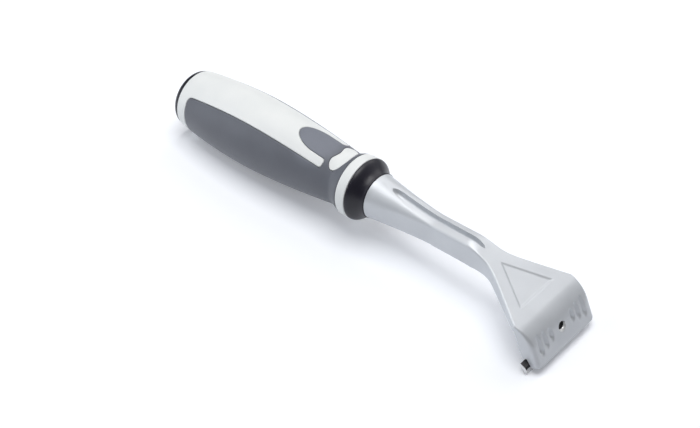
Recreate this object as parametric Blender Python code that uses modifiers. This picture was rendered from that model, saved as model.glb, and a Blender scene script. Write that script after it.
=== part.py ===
"""A hand-held carbide scraper, lying on a bench and built as its separate pieces.

The tool frame has +X along the handle towards the head and +Z up, with its origin on the
handle's axis at the front ring. The whole tool is then tipped about Y until its cutting
edge and the belly of its handle touch the ground together.
"""
import math

import bmesh
import bpy
from mathutils import Vector

# Clearances, in metres like every size here
GAP = 0.0003
PAST = 0.002

# Handle, a body of revolution
HANDLE_LENGTH = 0.1195
RING_RADIUS = 0.0165
WAIST_RADIUS = 0.0143
BELLY_RADIUS = 0.0195
BUTT_RADIUS = 0.0163
FLARE_LENGTH = 0.008
RING_LENGTH = 0.0045
BELLY_FROM_FRONT = 0.074
AROUND = 40

# Soft grip, a layer let into the handle
GRIP_THICKNESS = 0.0017
REAR_RIM = 0.0067
FRONT_RIM = 0.0058
BAND_REAR_HALF_WIDTH = 0.0125
BAND_FRONT_HALF_WIDTH = 0.0113
PANEL_CORNER = 0.0025
PAD_HALF_WIDTH = 0.0073
PAD_REAR_LENGTH = 0.0139
PAD_FRONT_LENGTH = 0.0087
NECK_WIDTH = 0.0025
WINDOW_HALF_WIDTH = 0.0096
WINDOW_LENGTH = 0.0089

# End cap and front collar
CAP_RADIUS = 0.0159
CAP_FACE_RADIUS = 0.0125
CAP_THICKNESS = 0.0038
CAP_PLUG_RADIUS = 0.010
CAP_PLUG_LENGTH = 0.006
COLLAR_LENGTH = 0.0086
COLLAR_FRONT_RADIUS = 0.0121
COLLAR_SLEEVE_LENGTH = 0.005
COLLAR_SLEEVE_WALL = 0.0019

# Tang and round root of the casting, inside the handle and the collar
TANG_LENGTH = 0.085
TANG_HALF_WIDTH = 0.004
TANG_HALF_HEIGHT = 0.006
TANG_TAPER = 0.8
TANG_HOLE_RADIUS = 0.0025
TANG_HOLE_SPACING = 0.030
ROOT_RADIUS = 0.0105

# Shank of the casting
SHOULDER_RADIUS = 0.0117
SHOULDER_TAPER_LENGTH = 0.037
SHOULDER_TAPER_POWER = 1.4
SHANK_LENGTH = 0.0716
SHANK_HALF_WIDTH = 0.0055
SHANK_TOP = 0.0046
SHANK_BOTTOM = 0.0073
SHANK_CROWN = 0.0012
EDGE_ROUND = 0.0009

# Groove along the top of the shank
GROOVE_START = 0.0185
GROOVE_LENGTH = 0.056
GROOVE_HALF_WIDTH = 0.0021
GROOVE_TAPER = 0.7
GROOVE_DEPTH = 0.0030

# Head of the casting: a sloping top plate folded down into a front wall
HEAD_SLOPE = math.radians(20.1)
WALL_SLOPE = math.radians(68.4)
HEAD_LENGTH = 0.0483
HEAD_HALF_WIDTH = 0.0223
NECK_THICKNESS = 0.0057
NECKING_LEAD = 0.0009
NECKING_LENGTH = 0.0196
PLATE_THICKNESS = 0.0036
WALL_THICKNESS = 0.0044
WALL_LENGTH = 0.0171
BEND_RADIUS = 0.028
FOLD_RADIUS = 0.016
FLARE_START = 0.0107
FLARE_BLEND = 0.003
CORNER_SETBACK = 0.0090
WALL_CORNER = 0.0010
WALL_ROUND = 0.0026

# Round-ended flutes sunk into the front wall on both sides of the screw
FLUTE_WIDTH = 0.0022
FLUTE_DEPTH = 0.0005
FLUTE_SPACING = 0.00425
FLUTE_FIRST = 0.0082
FLUTE_ABOVE_SCREW = 0.0022
FLUTE_BELOW_SCREW = 0.0021
FLUTE_RISE = 0.0008
FLUTE_DROP = 0.0013
FLUTES_A_SIDE = 3

# Triangle sunk into the top plate, and the two pockets cored out below it
TRIANGLE_APEX = 0.0137
TRIANGLE_LENGTH = 0.0214
TRIANGLE_HALF_BASE = 0.0121
TRIANGLE_DEPTH = 0.0005
HOLLOW_START = 0.0193
HOLLOW_SETBACK = 0.0116
HOLLOW_WEB = 0.0022
HOLLOW_RIM = 0.0030
HOLLOW_RIB = 0.0030

# Blade seat on the back of the front wall, leaning against it, with the blade and its clamp
SEAT_LEAN = math.radians(14)
CHEEK_DEPTH = 0.0081
CHEEK_THICKNESS = 0.0030
CHEEK_RISE = 0.0006
CHEEK_CORNER = 0.0010
SIDE_STEP = 0.00015
BLADE_LENGTH = 0.050
BLADE_HEIGHT = 0.0064
BLADE_THICKNESS = 0.0015
BLADE_BEVEL = 0.0026
BLADE_REACH = 0.0016
SCREW_ABOVE_BLADE = 0.0038
CLAMP_THICKNESS = 0.0025
CLAMP_ABOVE_SCREW = 0.0042
CLAMP_OVERLAP = 0.0032
CLAMP_CORNER = 0.0015
CLAMP_EDGE = 0.0003
SCREW_RADIUS = 0.0020
SCREW_HEAD_RADIUS = 0.0035
SCREW_HEAD_HEIGHT = 0.004
SOCKET_ACROSS = 0.003
SOCKET_DEPTH = 0.002
PILOT_RADIUS = 0.0016
PILOT_DEPTH = 0.0011

# Places that follow from the sizes
HANDLE_BACK = -HANDLE_LENGTH
GRIP_BACK = HANDLE_BACK + REAR_RIM
GRIP_FRONT = -FRONT_RIM
WAIST_X = -RING_LENGTH - FLARE_LENGTH
BELLY_X = -BELLY_FROM_FRONT
POCKET_DEPTH = GRIP_THICKNESS + GAP
COLLAR_BACK = GAP
COLLAR_FRONT = COLLAR_BACK + COLLAR_LENGTH
COLLAR_BORE = ROOT_RADIUS + GAP
SLEEVE_BACK = -COLLAR_SLEEVE_LENGTH
SLEEVE_RADIUS = COLLAR_BORE + COLLAR_SLEEVE_WALL
SHOULDER_X = COLLAR_FRONT + GAP
BLADE_TOP = BLADE_HEIGHT - BLADE_REACH
SEAT_STEP = BLADE_THICKNESS + GAP
SEAT_ROOF = BLADE_TOP + GAP
CLAMP_FRONT = SEAT_STEP + GAP
CLAMP_BACK = CLAMP_FRONT + CLAMP_THICKNESS
CLAMP_HALF_WIDTH = HEAD_HALF_WIDTH - CHEEK_THICKNESS - GAP
SCREW_UP = BLADE_TOP + SCREW_ABOVE_BLADE
FACE_AHEAD = (WALL_THICKNESS + SCREW_UP * math.sin(SEAT_LEAN)) / math.cos(SEAT_LEAN)
LEDGE_TOP = SCREW_UP + CLAMP_ABOVE_SCREW


# Small helpers

def clear_scene():
    """Remove whatever the file opened with"""
    for thing in list(bpy.data.objects):
        bpy.data.objects.remove(thing, do_unlink=True)


def new_collection(name):
    collection = bpy.data.collections.new(name)
    bpy.context.scene.collection.children.link(collection)
    return collection


def new_empty(name, parent, place=(0, 0, 0), turn=0.0):
    """Make a frame, turned about Y, that other pieces hang on"""
    empty = bpy.data.objects.new(name, None)
    PARTS.objects.link(empty)
    empty.parent = parent
    empty.location = place
    empty.rotation_euler = (0, turn, 0)
    return empty


def new_material(name, colour, roughness, metallic=0.0):
    material = bpy.data.materials.new(name)
    material.use_nodes = True
    shader = material.node_tree.nodes["Principled BSDF"]
    shader.inputs["Base Color"].default_value = (*colour, 1)
    shader.inputs["Roughness"].default_value = roughness
    shader.inputs["Metallic"].default_value = metallic
    return material


def new_piece(name, bm, parent, material=None):
    """Turn a bmesh into an object: a part when it has a material, a cutter when it has none"""
    mesh = bpy.data.meshes.new(name)
    bmesh.ops.recalc_face_normals(bm, faces=bm.faces)
    bm.to_mesh(mesh)
    bm.free()
    piece = bpy.data.objects.new(name, mesh)
    piece.parent = parent
    if material:
        PARTS.objects.link(piece)
        mesh.materials.append(material)
    else:
        CUTTERS.objects.link(piece)
        piece.hide_render = True
        piece.display_type = "WIRE"
    return piece


def cut(piece, cutter, operation="DIFFERENCE"):
    boolean = piece.modifiers.new(cutter.name, "BOOLEAN")
    boolean.solver = "EXACT"
    boolean.operation = operation
    boolean.object = cutter


def shade(piece, degrees=35):
    piece.data.shade_smooth()
    piece.data.set_sharp_from_angle(angle=math.radians(degrees))


def turned(name, profile, parent, material=None, around=AROUND, start=0.0):
    """Spin (along X, radius) pairs about X, their outer side running from front to back"""
    bm = bmesh.new()
    verts = [bm.verts.new((radius * math.cos(start), radius * math.sin(start), along))
             for along, radius in profile]
    for first, second in zip(verts, verts[1:]):
        bm.edges.new((first, second))
    if min(radius for _, radius in profile) > 0:
        bm.edges.new((verts[-1], verts[0]))
    piece = new_piece(name, bm, parent, material)
    piece.rotation_euler = (0, math.pi / 2, 0)
    screw = piece.modifiers.new("spin", "SCREW")
    screw.steps = around
    screw.render_steps = around
    screw.use_merge_vertices = True
    screw.merge_threshold = 0.00001
    screw.use_smooth_shade = True
    return piece


def flat_solid(name, outline, low, high, parent, material=None):
    """Fill a flat (x, y) outline, drawn as a curve, and make it solid between two heights"""
    curve = bpy.data.curves.new(name, "CURVE")
    curve.dimensions = "2D"
    curve.fill_mode = "BOTH"
    curve.extrude = (high - low) / 2
    spline = curve.splines.new("POLY")
    spline.points.add(len(outline) - 1)
    for point, (x, y) in zip(spline.points, outline):
        point.co = (x, y, 0, 1)
    spline.use_cyclic_u = True
    flat = bpy.data.objects.new(name, curve)
    CUTTERS.objects.link(flat)
    graph = bpy.context.evaluated_depsgraph_get()
    mesh = bpy.data.meshes.new_from_object(flat.evaluated_get(graph))
    bpy.data.objects.remove(flat, do_unlink=True)
    bm = bmesh.new()
    bm.from_mesh(mesh)
    bpy.data.meshes.remove(mesh)
    bmesh.ops.remove_doubles(bm, verts=bm.verts, dist=0.00001)
    bmesh.ops.translate(bm, verts=bm.verts, vec=(0, 0, (low + high) / 2))
    return new_piece(name, bm, parent, material)


def bar(name, section, low, high, parent, material=None):
    """Run a (forward, up) section of its parent's frame across the tool, from y low to high"""
    piece = flat_solid(name, section, -high, -low, parent, material)
    piece.rotation_euler = (math.pi / 2, 0, 0)
    return piece


def loft(name, rings, parent, material=None):
    """Skin closed rings with the same number of points, and cap both ends"""
    bm = bmesh.new()
    rows = [[bm.verts.new(point) for point in ring] for ring in rings]
    for lower, upper in zip(rows, rows[1:]):
        for index in range(len(lower)):
            after = (index + 1) % len(lower)
            bm.faces.new((lower[index], lower[after], upper[after], upper[index]))
    bm.faces.new(rows[0])
    bm.faces.new(rows[-1])
    return new_piece(name, bm, parent, material)


def rod(name, radius, low, high, parent, across=False, around=24):
    """Make a cylinder along the parent's Z, or across it along Y"""
    bm = bmesh.new()
    bmesh.ops.create_cone(bm, cap_ends=True, segments=around, radius1=radius, radius2=radius,
                          depth=high - low)
    bmesh.ops.translate(bm, verts=bm.verts, vec=(0, 0, (low + high) / 2))
    piece = new_piece(name, bm, parent)
    if across:
        piece.rotation_euler = (math.pi / 2, 0, 0)
    return piece


def arc(centre, radius, start, end, steps):
    """Return points on an arc, with angles in degrees"""
    angles = [math.radians(start + (end - start) * step / steps) for step in range(steps + 1)]
    return [(centre[0] + radius * math.cos(angle), centre[1] + radius * math.sin(angle))
            for angle in angles]


def mirrored(half):
    """Close a half outline by repeating it on the other side of the centre line"""
    return half + [(x, -y) for x, y in reversed(half) if abs(y) > 0.00001]


def shrunk(outline, distance):
    """Draw a closed outline in by a distance, each corner along its own bisector"""
    area = sum(a[0] * b[1] - b[0] * a[1] for a, b in zip(outline, outline[1:] + outline[:1]))
    side = 1 if area > 0 else -1
    result = []
    for index, point in enumerate(outline):
        here = Vector(point)
        before = (here - Vector(outline[index - 1])).normalized()
        after = (Vector(outline[(index + 1) % len(outline)]) - here).normalized()
        inward = Vector((-before.y - after.y, before.x + after.x)).normalized() * side
        lean = max(0.5, inward.dot(Vector((-before.y, before.x)) * side))
        result.append(tuple(here + inward * distance / lean))
    return result


def smooth_loop(points, steps):
    """Return a closed Catmull-Rom curve through the points"""
    count = len(points)
    result = []
    for index in range(count):
        p0, p1, p2, p3 = (Vector(points[(index + shift) % count]) for shift in (-1, 0, 1, 2))
        for step in range(steps):
            t = step / steps
            point = 0.5 * (2 * p1 + (p2 - p0) * t + (2 * p0 - 5 * p1 + 4 * p2 - p3) * t ** 2
                           + (3 * p1 - p0 - 3 * p2 + p3) * t ** 3)
            result.append(tuple(point))
    return result


def eased(share):
    """Rise smoothly from 0 to 1 as the share does"""
    share = min(max(share, 0), 1)
    return share * share * (3 - 2 * share)


def spread(start, end, steps):
    return [start + (end - start) * step / steps for step in range(steps + 1)]


# Handle and grip

def handle_radius(x):
    """Outer radius of the handle: a long belly, a waist and a flare to the front ring"""
    if x < BELLY_X:
        away = (BELLY_X - x) / (BELLY_X - HANDLE_BACK)
        return BELLY_RADIUS - (BELLY_RADIUS - BUTT_RADIUS) * away ** 2
    if x < WAIST_X:
        away = (x - BELLY_X) / (WAIST_X - BELLY_X)
        return BELLY_RADIUS - (BELLY_RADIUS - WAIST_RADIUS) * away ** 1.6
    return WAIST_RADIUS + (RING_RADIUS - WAIST_RADIUS) * eased((x - WAIST_X) / FLARE_LENGTH)


def handle_stations(start, end):
    """List x from front to back, closer together where the flare curves"""
    stations = spread(-RING_LENGTH, WAIST_X, 6) + spread(WAIST_X, HANDLE_BACK, 17)[1:]
    return [start] + [x for x in stations if end + GAP < x < start - GAP] + [end]


def band_outline():
    """White band on top of the handle, round the thumb pad, seen from above"""
    tip = neck_rear()
    pad_centre = tip - PAD_FRONT_LENGTH
    corner = (GRIP_BACK + PANEL_CORNER, BAND_REAR_HALF_WIDTH + PANEL_CORNER)
    rounding = (BAND_FRONT_HALF_WIDTH - PAD_HALF_WIDTH) / 3
    half = [(HANDLE_BACK - PAST, corner[1])]
    half += arc(corner, PANEL_CORNER, 180, 270, 4)
    half += arc((tip - rounding, BAND_FRONT_HALF_WIDTH - rounding), rounding, 90, 0, 3)
    half += arc((tip - rounding, PAD_HALF_WIDTH + rounding), rounding, 0, -90, 3)
    half += [(pad_centre + PAD_REAR_LENGTH * math.cos(angle), PAD_HALF_WIDTH * math.sin(angle))
             for angle in spread(math.pi / 2, math.pi, 9)]
    return mirrored(half)


def neck_rear():
    """Where the two necks that tie the thumb pad to the side panels begin"""
    return window_rear() - NECK_WIDTH


def window_rear():
    return GRIP_FRONT - 0.25 * WINDOW_LENGTH - WINDOW_LENGTH


def window_outline():
    """Bean-shaped white window before the thumb pad, seen from above"""
    shares = ((0.11, 0), (0.05, 0.25), (-0.04, 0.50), (0, 0.75), (0.15, 0.94), (0.33, 1),
              (0.56, 0.93), (0.79, 0.72), (0.94, 0.45), (1, 0.20))
    half = [(window_rear() + along * WINDOW_LENGTH, across * WINDOW_HALF_WIDTH)
            for along, across in shares]
    half.append((window_rear() + WINDOW_LENGTH, 0))
    return smooth_loop(mirrored(half), 2)


def layer(name, depth, margin, parent, material=None, above=0.0, start=0.0):
    """Turned ring under the handle's skin, from the grip's back to its front"""
    stations = handle_stations(GRIP_FRONT + margin, GRIP_BACK - margin)
    outer = [(x, handle_radius(x) + above) for x in stations]
    inner = [(x, handle_radius(x) - depth) for x in reversed(stations)]
    return turned(name, outer + inner, parent, material, start=start)


def make_soft_grip(tool):
    grip = layer("soft_grip", GRIP_THICKNESS, 0, tool, GREY)
    for name, outline in (("band", band_outline()), ("window", window_outline())):
        cut(grip, flat_solid("grip_" + name, outline, 0, 2 * BELLY_RADIUS, tool))
    return grip


def make_handle_core(tool):
    front, back = SLEEVE_BACK - GAP, HANDLE_BACK + CAP_PLUG_LENGTH
    plug_bore, sleeve_bore = CAP_PLUG_RADIUS + GAP, SLEEVE_RADIUS + GAP
    profile = [(front, 0), (front, sleeve_bore), (0, sleeve_bore)]
    profile += [(x, handle_radius(x)) for x in handle_stations(0, HANDLE_BACK)]
    profile += [(HANDLE_BACK, plug_bore), (back, plug_bore), (back, 0)]
    core = turned("handle_core", profile, tool, WHITE)
    pocket = layer("grip_pocket", POCKET_DEPTH, GAP, tool, above=PAST, start=math.pi / AROUND)
    for name, outline in (("band", band_outline()), ("window", window_outline())):
        island = flat_solid("island_" + name, shrunk(outline, GAP), -PAST, 2 * BELLY_RADIUS, tool)
        cut(pocket, island)
    cut(core, pocket)
    cavity = loft("tang_cavity", tang_rings(GAP, front + PAST), tool)
    for index, x in enumerate(tang_holes()):
        post = rod(f"tang_post_{index}", TANG_HOLE_RADIUS - GAP, -RING_RADIUS, RING_RADIUS, tool,
                   across=True)
        post.location.x = x
        cut(cavity, post)
    cut(core, cavity)
    return core


def make_front_collar(tool):
    """Concave flare from the handle's ring down to the shank, on a sleeve in the handle"""
    start = Vector((COLLAR_FRONT, COLLAR_FRONT_RADIUS))
    end = Vector((COLLAR_BACK, RING_RADIUS))
    neck = start - Vector((COLLAR_LENGTH / 2, 0))
    shoulder = end + Vector((COLLAR_LENGTH / 3, 0))
    flare = [tuple((1 - t) ** 3 * start + 3 * (1 - t) ** 2 * t * neck
                   + 3 * (1 - t) * t ** 2 * shoulder + t ** 3 * end)
             for t in spread(0, 1, 7)]
    profile = flare + [(COLLAR_BACK, SLEEVE_RADIUS), (SLEEVE_BACK, SLEEVE_RADIUS),
                       (SLEEVE_BACK, COLLAR_BORE), (COLLAR_FRONT, COLLAR_BORE)]
    return turned("front_collar", profile, tool, BLACK)


def make_end_cap(tool):
    back = HANDLE_BACK - GAP
    plug = HANDLE_BACK + CAP_PLUG_LENGTH - GAP
    rounding = [(back - CAP_THICKNESS * math.sin(angle),
                 CAP_FACE_RADIUS + (CAP_RADIUS - CAP_FACE_RADIUS) * math.cos(angle))
                for angle in spread(0, math.pi / 2, 4)]
    profile = [(plug, 0), (plug, CAP_PLUG_RADIUS), (back, CAP_PLUG_RADIUS)]
    profile += rounding + [(back - CAP_THICKNESS, 0)]
    return turned("end_cap", profile, tool, BLACK)


# Casting: tang, shank, head plate and front wall in one skin

def section(half_width, top, bottom, crown=0.0, top_round=EDGE_ROUND, bottom_round=EDGE_ROUND):
    """Outline of the casting across its length: a rounded box with a crowned top"""
    bottom_round = min(bottom_round, 0.96 * half_width, 0.48 * (top - bottom))
    top_round = min(top_round, 0.96 * half_width, 0.96 * (top - bottom) - bottom_round)
    right = [(0, top), ((half_width - top_round) / 2, top)]
    right += arc((half_width - top_round, top - top_round), top_round, 90, 0, 5)
    right += arc((half_width - bottom_round, bottom + bottom_round), bottom_round, 0, -90, 5)
    right += [((half_width - bottom_round) / 2, bottom), (0, bottom)]
    middle = (top + bottom) / 2
    right = [(y, z + crown * (1 - (y / half_width) ** 2) if z > middle else z)
             for y, z in right]
    left = [(-y, z) for y, z in reversed(right[1:-1])]
    return right + left


def placed(outline, point, slope):
    """Stand a (y, z) outline square to a line that falls at the slope"""
    x, z = point
    return [(x + high * math.sin(slope), y, z + high * math.cos(slope)) for y, high in outline]


def along(point, slope, distance):
    return (point[0] + distance * math.cos(slope), point[1] - distance * math.sin(slope))


def bend(corner, slope_in, slope_out, radius, share):
    """Return the point and the slope at a share of the way round a bend"""
    reach = radius * math.tan((slope_out - slope_in) / 2)
    start = along(corner, slope_in, -reach)
    centre = (start[0] - radius * math.sin(slope_in), start[1] - radius * math.cos(slope_in))
    slope = slope_in + share * (slope_out - slope_in)
    return (centre[0] + radius * math.sin(slope), centre[1] + radius * math.cos(slope)), slope


def head_corner():
    """Sharp corner where the head's slope leaves the shank's top line"""
    return (SHANK_LENGTH, SHANK_TOP)


def fold_corner():
    """Sharp corner where the top plate and the front wall would meet"""
    return along(head_corner(), HEAD_SLOPE, HEAD_LENGTH)


def head_half_width(distance):
    """Half width down the slope: narrow neck, then a straight flare to the full width"""
    shoulder = HEAD_LENGTH - CORNER_SETBACK
    rate = (HEAD_HALF_WIDTH - SHANK_HALF_WIDTH) / (shoulder - FLARE_START)
    swell = FLARE_BLEND * math.log(1 + math.exp((distance - FLARE_START) / FLARE_BLEND))
    return min(SHANK_HALF_WIDTH + rate * swell, HEAD_HALF_WIDTH)


def head_thickness(distance):
    """Thickness down the slope: full shank, then the neck, then thinning to the edge"""
    shank = SHANK_TOP + SHANK_BOTTOM
    necking = eased((distance + NECKING_LEAD) / NECKING_LENGTH)
    thinning = (distance - HOLLOW_START) / (HEAD_LENGTH - CORNER_SETBACK - HOLLOW_START)
    return (shank - (shank - NECK_THICKNESS) * necking
            - (NECK_THICKNESS - PLATE_THICKNESS) * min(max(thinning, 0), 1))


def tang_holes():
    return [SLEEVE_BACK - TANG_LENGTH / 2 + side * TANG_HOLE_SPACING / 2 for side in (-1, 1)]


def tang_rings(grow, front):
    """Rings of the tang from its tip to the front, all grown by a clearance"""
    rings = []
    for x, taper in ((SLEEVE_BACK - TANG_LENGTH - grow, TANG_TAPER), (front, 1)):
        half_width = TANG_HALF_WIDTH * taper + grow
        half_height = TANG_HALF_HEIGHT * taper + grow
        rings.append(placed(section(half_width, half_height, -half_height), (x, 0), 0))
    return rings


def shoulder_share(x):
    """How much of the round shoulder is left on the way to the flat-sided shank"""
    left = min(max(1 - (x - SHOULDER_X) / SHOULDER_TAPER_LENGTH, 0), 1)
    return left ** SHOULDER_TAPER_POWER


def shank_rings():
    """Rings from the round shoulder into the shank's flat sides"""
    rings = []
    end = SHOULDER_X + SHOULDER_TAPER_LENGTH
    bend_start = SHANK_LENGTH - BEND_RADIUS * math.tan(HEAD_SLOPE / 2)
    for x in spread(SHOULDER_X, end, 10) + [(end + bend_start) / 2]:
        left = shoulder_share(x)
        half_width = SHANK_HALF_WIDTH + (SHOULDER_RADIUS - SHANK_HALF_WIDTH) * left
        top = SHANK_TOP + (SHOULDER_RADIUS - SHANK_TOP) * left
        bottom = -SHANK_BOTTOM - (SHOULDER_RADIUS - SHANK_BOTTOM) * left
        rounding = EDGE_ROUND + (SHOULDER_RADIUS - EDGE_ROUND) * left
        outline = section(half_width, top, bottom, SHANK_CROWN * (1 - left), rounding, rounding)
        rings.append(placed(outline, (x, 0), 0))
    return rings


def head_rings():
    """Rings down the sloping plate, round the fold and down the front wall"""
    rings = []
    reach = BEND_RADIUS * math.tan(HEAD_SLOPE / 2)
    shoulder = HEAD_LENGTH - CORNER_SETBACK
    for share in spread(0, 1, 5):
        point, slope = bend(head_corner(), 0, HEAD_SLOPE, BEND_RADIUS, share)
        distance = reach * (2 * share - 1)
        rings.append((point, slope, head_half_width(distance), head_thickness(distance),
                      SHANK_CROWN * (1 - eased(share)), EDGE_ROUND))
    for distance in spread(reach, shoulder, 12)[1:]:
        point = along(head_corner(), HEAD_SLOPE, distance)
        rings.append((point, HEAD_SLOPE, head_half_width(distance), head_thickness(distance), 0,
                      EDGE_ROUND))
    for share in spread(0, 1, 7):
        point, slope = bend(fold_corner(), HEAD_SLOPE, WALL_SLOPE, FOLD_RADIUS, share)
        thickness = PLATE_THICKNESS + (WALL_THICKNESS - PLATE_THICKNESS) * share
        rings.append((point, slope, HEAD_HALF_WIDTH, thickness, 0,
                      EDGE_ROUND + (WALL_ROUND - EDGE_ROUND) * share))
    for angle in spread(0, math.pi / 2, 3):
        down = WALL_LENGTH - WALL_CORNER * (1 - math.sin(angle))
        half_width = HEAD_HALF_WIDTH - WALL_CORNER * (1 - math.cos(angle))
        rings.append((along(fold_corner(), WALL_SLOPE, down), WALL_SLOPE, half_width,
                      WALL_THICKNESS, 0, WALL_ROUND))
    return [placed(section(half_width, 0, -thickness, crown, rounding), point, slope)
            for point, slope, half_width, thickness, crown, rounding in rings]


def root_rings():
    """Rings of the round root that sits in the collar"""
    outline = section(ROOT_RADIUS, ROOT_RADIUS, -ROOT_RADIUS, 0, ROOT_RADIUS, ROOT_RADIUS)
    return [placed(outline, (x, 0), 0) for x in (SLEEVE_BACK, SHOULDER_X)]


def groove_cutter(tool):
    """Long scoop in the top of the shank, with round ends and a narrowing width"""
    end = GROOVE_START + GROOVE_LENGTH
    rings = []
    shares = [1 - math.cos(angle) for angle in spread(math.pi / 16, math.pi / 2, 4)]
    cap = 3 * GROOVE_HALF_WIDTH
    stations = [(GROOVE_START + cap * share, share) for share in shares]
    stations += [(end - cap * share, share) for share in reversed(shares)]
    for x, share in stations:
        swell = math.sqrt(1 - (1 - share) ** 2)
        taper = 1 + (GROOVE_TAPER - 1) * (x - GROOVE_START) / GROOVE_LENGTH
        half_width = GROOVE_HALF_WIDTH * swell * taper
        floor = shank_top(x) - GROOVE_DEPTH * swell
        outline = [(half_width, SHOULDER_RADIUS + PAST)]
        outline += [(half_width * math.cos(angle), floor + half_width * (1 - math.sin(angle)))
                    for angle in spread(0, math.pi, 6)]
        outline += [(-half_width, SHOULDER_RADIUS + PAST)]
        rings.append([(x, y, z) for y, z in outline])
    return loft("groove", rings, tool)


def shank_top(x):
    """Height of the casting's centre line from the shoulder to the start of the head"""
    left = shoulder_share(x)
    straight = SHANK_TOP + (SHOULDER_RADIUS - SHANK_TOP) * left + SHANK_CROWN * (1 - left)
    start = SHANK_LENGTH - BEND_RADIUS * math.tan(HEAD_SLOPE / 2)
    return straight - max(0, x - start) ** 2 / (2 * BEND_RADIUS)


def triangle_cutter(plate):
    apex = (TRIANGLE_APEX, 0)
    base = TRIANGLE_APEX + TRIANGLE_LENGTH
    return flat_solid("triangle", [apex, (base, TRIANGLE_HALF_BASE), (base, -TRIANGLE_HALF_BASE)],
                      -TRIANGLE_DEPTH, PAST, plate)


def hollow_cutters(plate):
    """Two pockets under the plate, either side of a middle rib and inside a rim"""
    end = HEAD_LENGTH - HOLLOW_SETBACK
    for side in (-1, 1):
        outer = [(x, head_half_width(x) - HOLLOW_RIM) for x in spread(HOLLOW_START, end, 4)]
        half = [(HOLLOW_START, HOLLOW_RIB / 2)] + outer + [(end, HOLLOW_RIB / 2)]
        yield flat_solid(f"hollow_{side}", [(x, side * y) for x, y in half],
                         -3 * NECK_THICKNESS, -HOLLOW_WEB, plate)


def flute_cutters(front):
    """Flutes either side of the screw, the outer ones longest, fading out on the fold"""
    radius = FLUTE_WIDTH / 2
    screw, _ = seat_point(FACE_AHEAD, SCREW_UP)
    for index in range(FLUTES_A_SIDE):
        top = screw - FLUTE_ABOVE_SCREW - FLUTE_RISE * index
        bottom = screw + FLUTE_BELOW_SCREW + FLUTE_DROP * index
        for side in (-1, 1):
            y = side * (FLUTE_FIRST + FLUTE_SPACING * index)
            outline = arc((bottom - radius, y), radius, -90, 90, 6)
            outline += arc((top + radius, y), radius, 90, 270, 6)
            yield flat_solid(f"flute_{index}_{side}", outline, -FLUTE_DEPTH, PAST, front)


# Back of the head, drawn as (down, forward) from the sharp corner of the fold

def seat_point(forward, up):
    """Turn a place on the leaning blade seat into (down, forward)"""
    return (WALL_LENGTH - forward * math.sin(SEAT_LEAN) - up * math.cos(SEAT_LEAN),
            forward * math.cos(SEAT_LEAN) - up * math.sin(SEAT_LEAN) - WALL_THICKNESS)


def plate_point(back, below):
    """Turn a distance back along the plate and a depth under its top into (down, forward)"""
    fold = WALL_SLOPE - HEAD_SLOPE
    return (below * math.sin(fold) - back * math.cos(fold),
            -back * math.sin(fold) - below * math.cos(fold))


def wedge_section():
    """Wedge on the back of the wall that carries the blade seat"""
    low, high = seat_point(0, WALL_CORNER), seat_point(0, SEAT_ROOF + 2 * CHEEK_RISE)
    return [(low[0], -WALL_THICKNESS / 2), low, high, (high[0], -WALL_THICKNESS / 2)]


def ledge_section():
    """Block above the blade that takes the screw's thread"""
    high = seat_point(-SEAT_STEP, LEDGE_TOP)
    return [seat_point(WALL_THICKNESS / 2, SEAT_ROOF), seat_point(-SEAT_STEP, SEAT_ROOF), high,
            (high[0], -WALL_THICKNESS / 2)]


def cheek_section():
    """Cheek at each end of the head, from under the plate down to the blade"""
    fold = WALL_SLOPE - HEAD_SLOPE
    middle = PLATE_THICKNESS / 2
    corner_back = (WALL_THICKNESS / 2 - middle * math.cos(fold)) / math.sin(fold)
    low, _ = seat_point(-SEAT_STEP, SEAT_ROOF + CHEEK_RISE)
    return [plate_point(corner_back, middle), plate_point(CORNER_SETBACK, middle),
            (-CHEEK_CORNER, -CHEEK_DEPTH), (low, -CHEEK_DEPTH), (low, -WALL_THICKNESS / 2)]


def make_cast_body(tool, plate, front, screw_axis):
    rings = tang_rings(0, SLEEVE_BACK) + root_rings() + shank_rings() + head_rings()
    body = loft("cast_body", rings, tool, SILVER)
    outside = HEAD_HALF_WIDTH - SIDE_STEP
    wide, narrow = outside - SIDE_STEP, HEAD_HALF_WIDTH - CHEEK_THICKNESS / 2
    cut(body, bar("seat_wedge", wedge_section(), -wide, wide, front), "UNION")
    cut(body, bar("thread_ledge", ledge_section(), -narrow, narrow, front), "UNION")
    for side in (-1, 1):
        low, high = sorted((side * (HEAD_HALF_WIDTH - CHEEK_THICKNESS), side * outside))
        cut(body, bar(f"cheek_{side}", cheek_section(), low, high, front), "UNION")
    cut(body, groove_cutter(tool))
    cut(body, triangle_cutter(plate))
    for pocket in hollow_cutters(plate):
        cut(body, pocket)
    for flute in flute_cutters(front):
        cut(body, flute)
    for index, x in enumerate(tang_holes()):
        hole = rod(f"tang_hole_{index}", TANG_HOLE_RADIUS, -RING_RADIUS, RING_RADIUS, tool,
                   across=True)
        hole.location.x = x
        cut(body, hole)
    step = PILOT_DEPTH - FACE_AHEAD
    cut(body, rod("pilot_hole", PILOT_RADIUS, -FACE_AHEAD - PAST, step + GAP, screw_axis))
    cut(body, rod("thread_hole", SCREW_RADIUS + GAP, step, SEAT_STEP + PAST, screw_axis))
    shade(body)
    return body


# Blade and clamp

def make_blade(blade_line):
    """Turnable strip, ground on the front of both its long edges"""
    back, bottom, top = -BLADE_THICKNESS, -BLADE_HEIGHT / 2, BLADE_HEIGHT / 2
    outline = [(0, bottom + BLADE_BEVEL), (back, bottom), (back, top), (0, top - BLADE_BEVEL)]
    return bar("carbide_blade", outline, -BLADE_LENGTH / 2, BLADE_LENGTH / 2, blade_line, CARBIDE)


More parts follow.
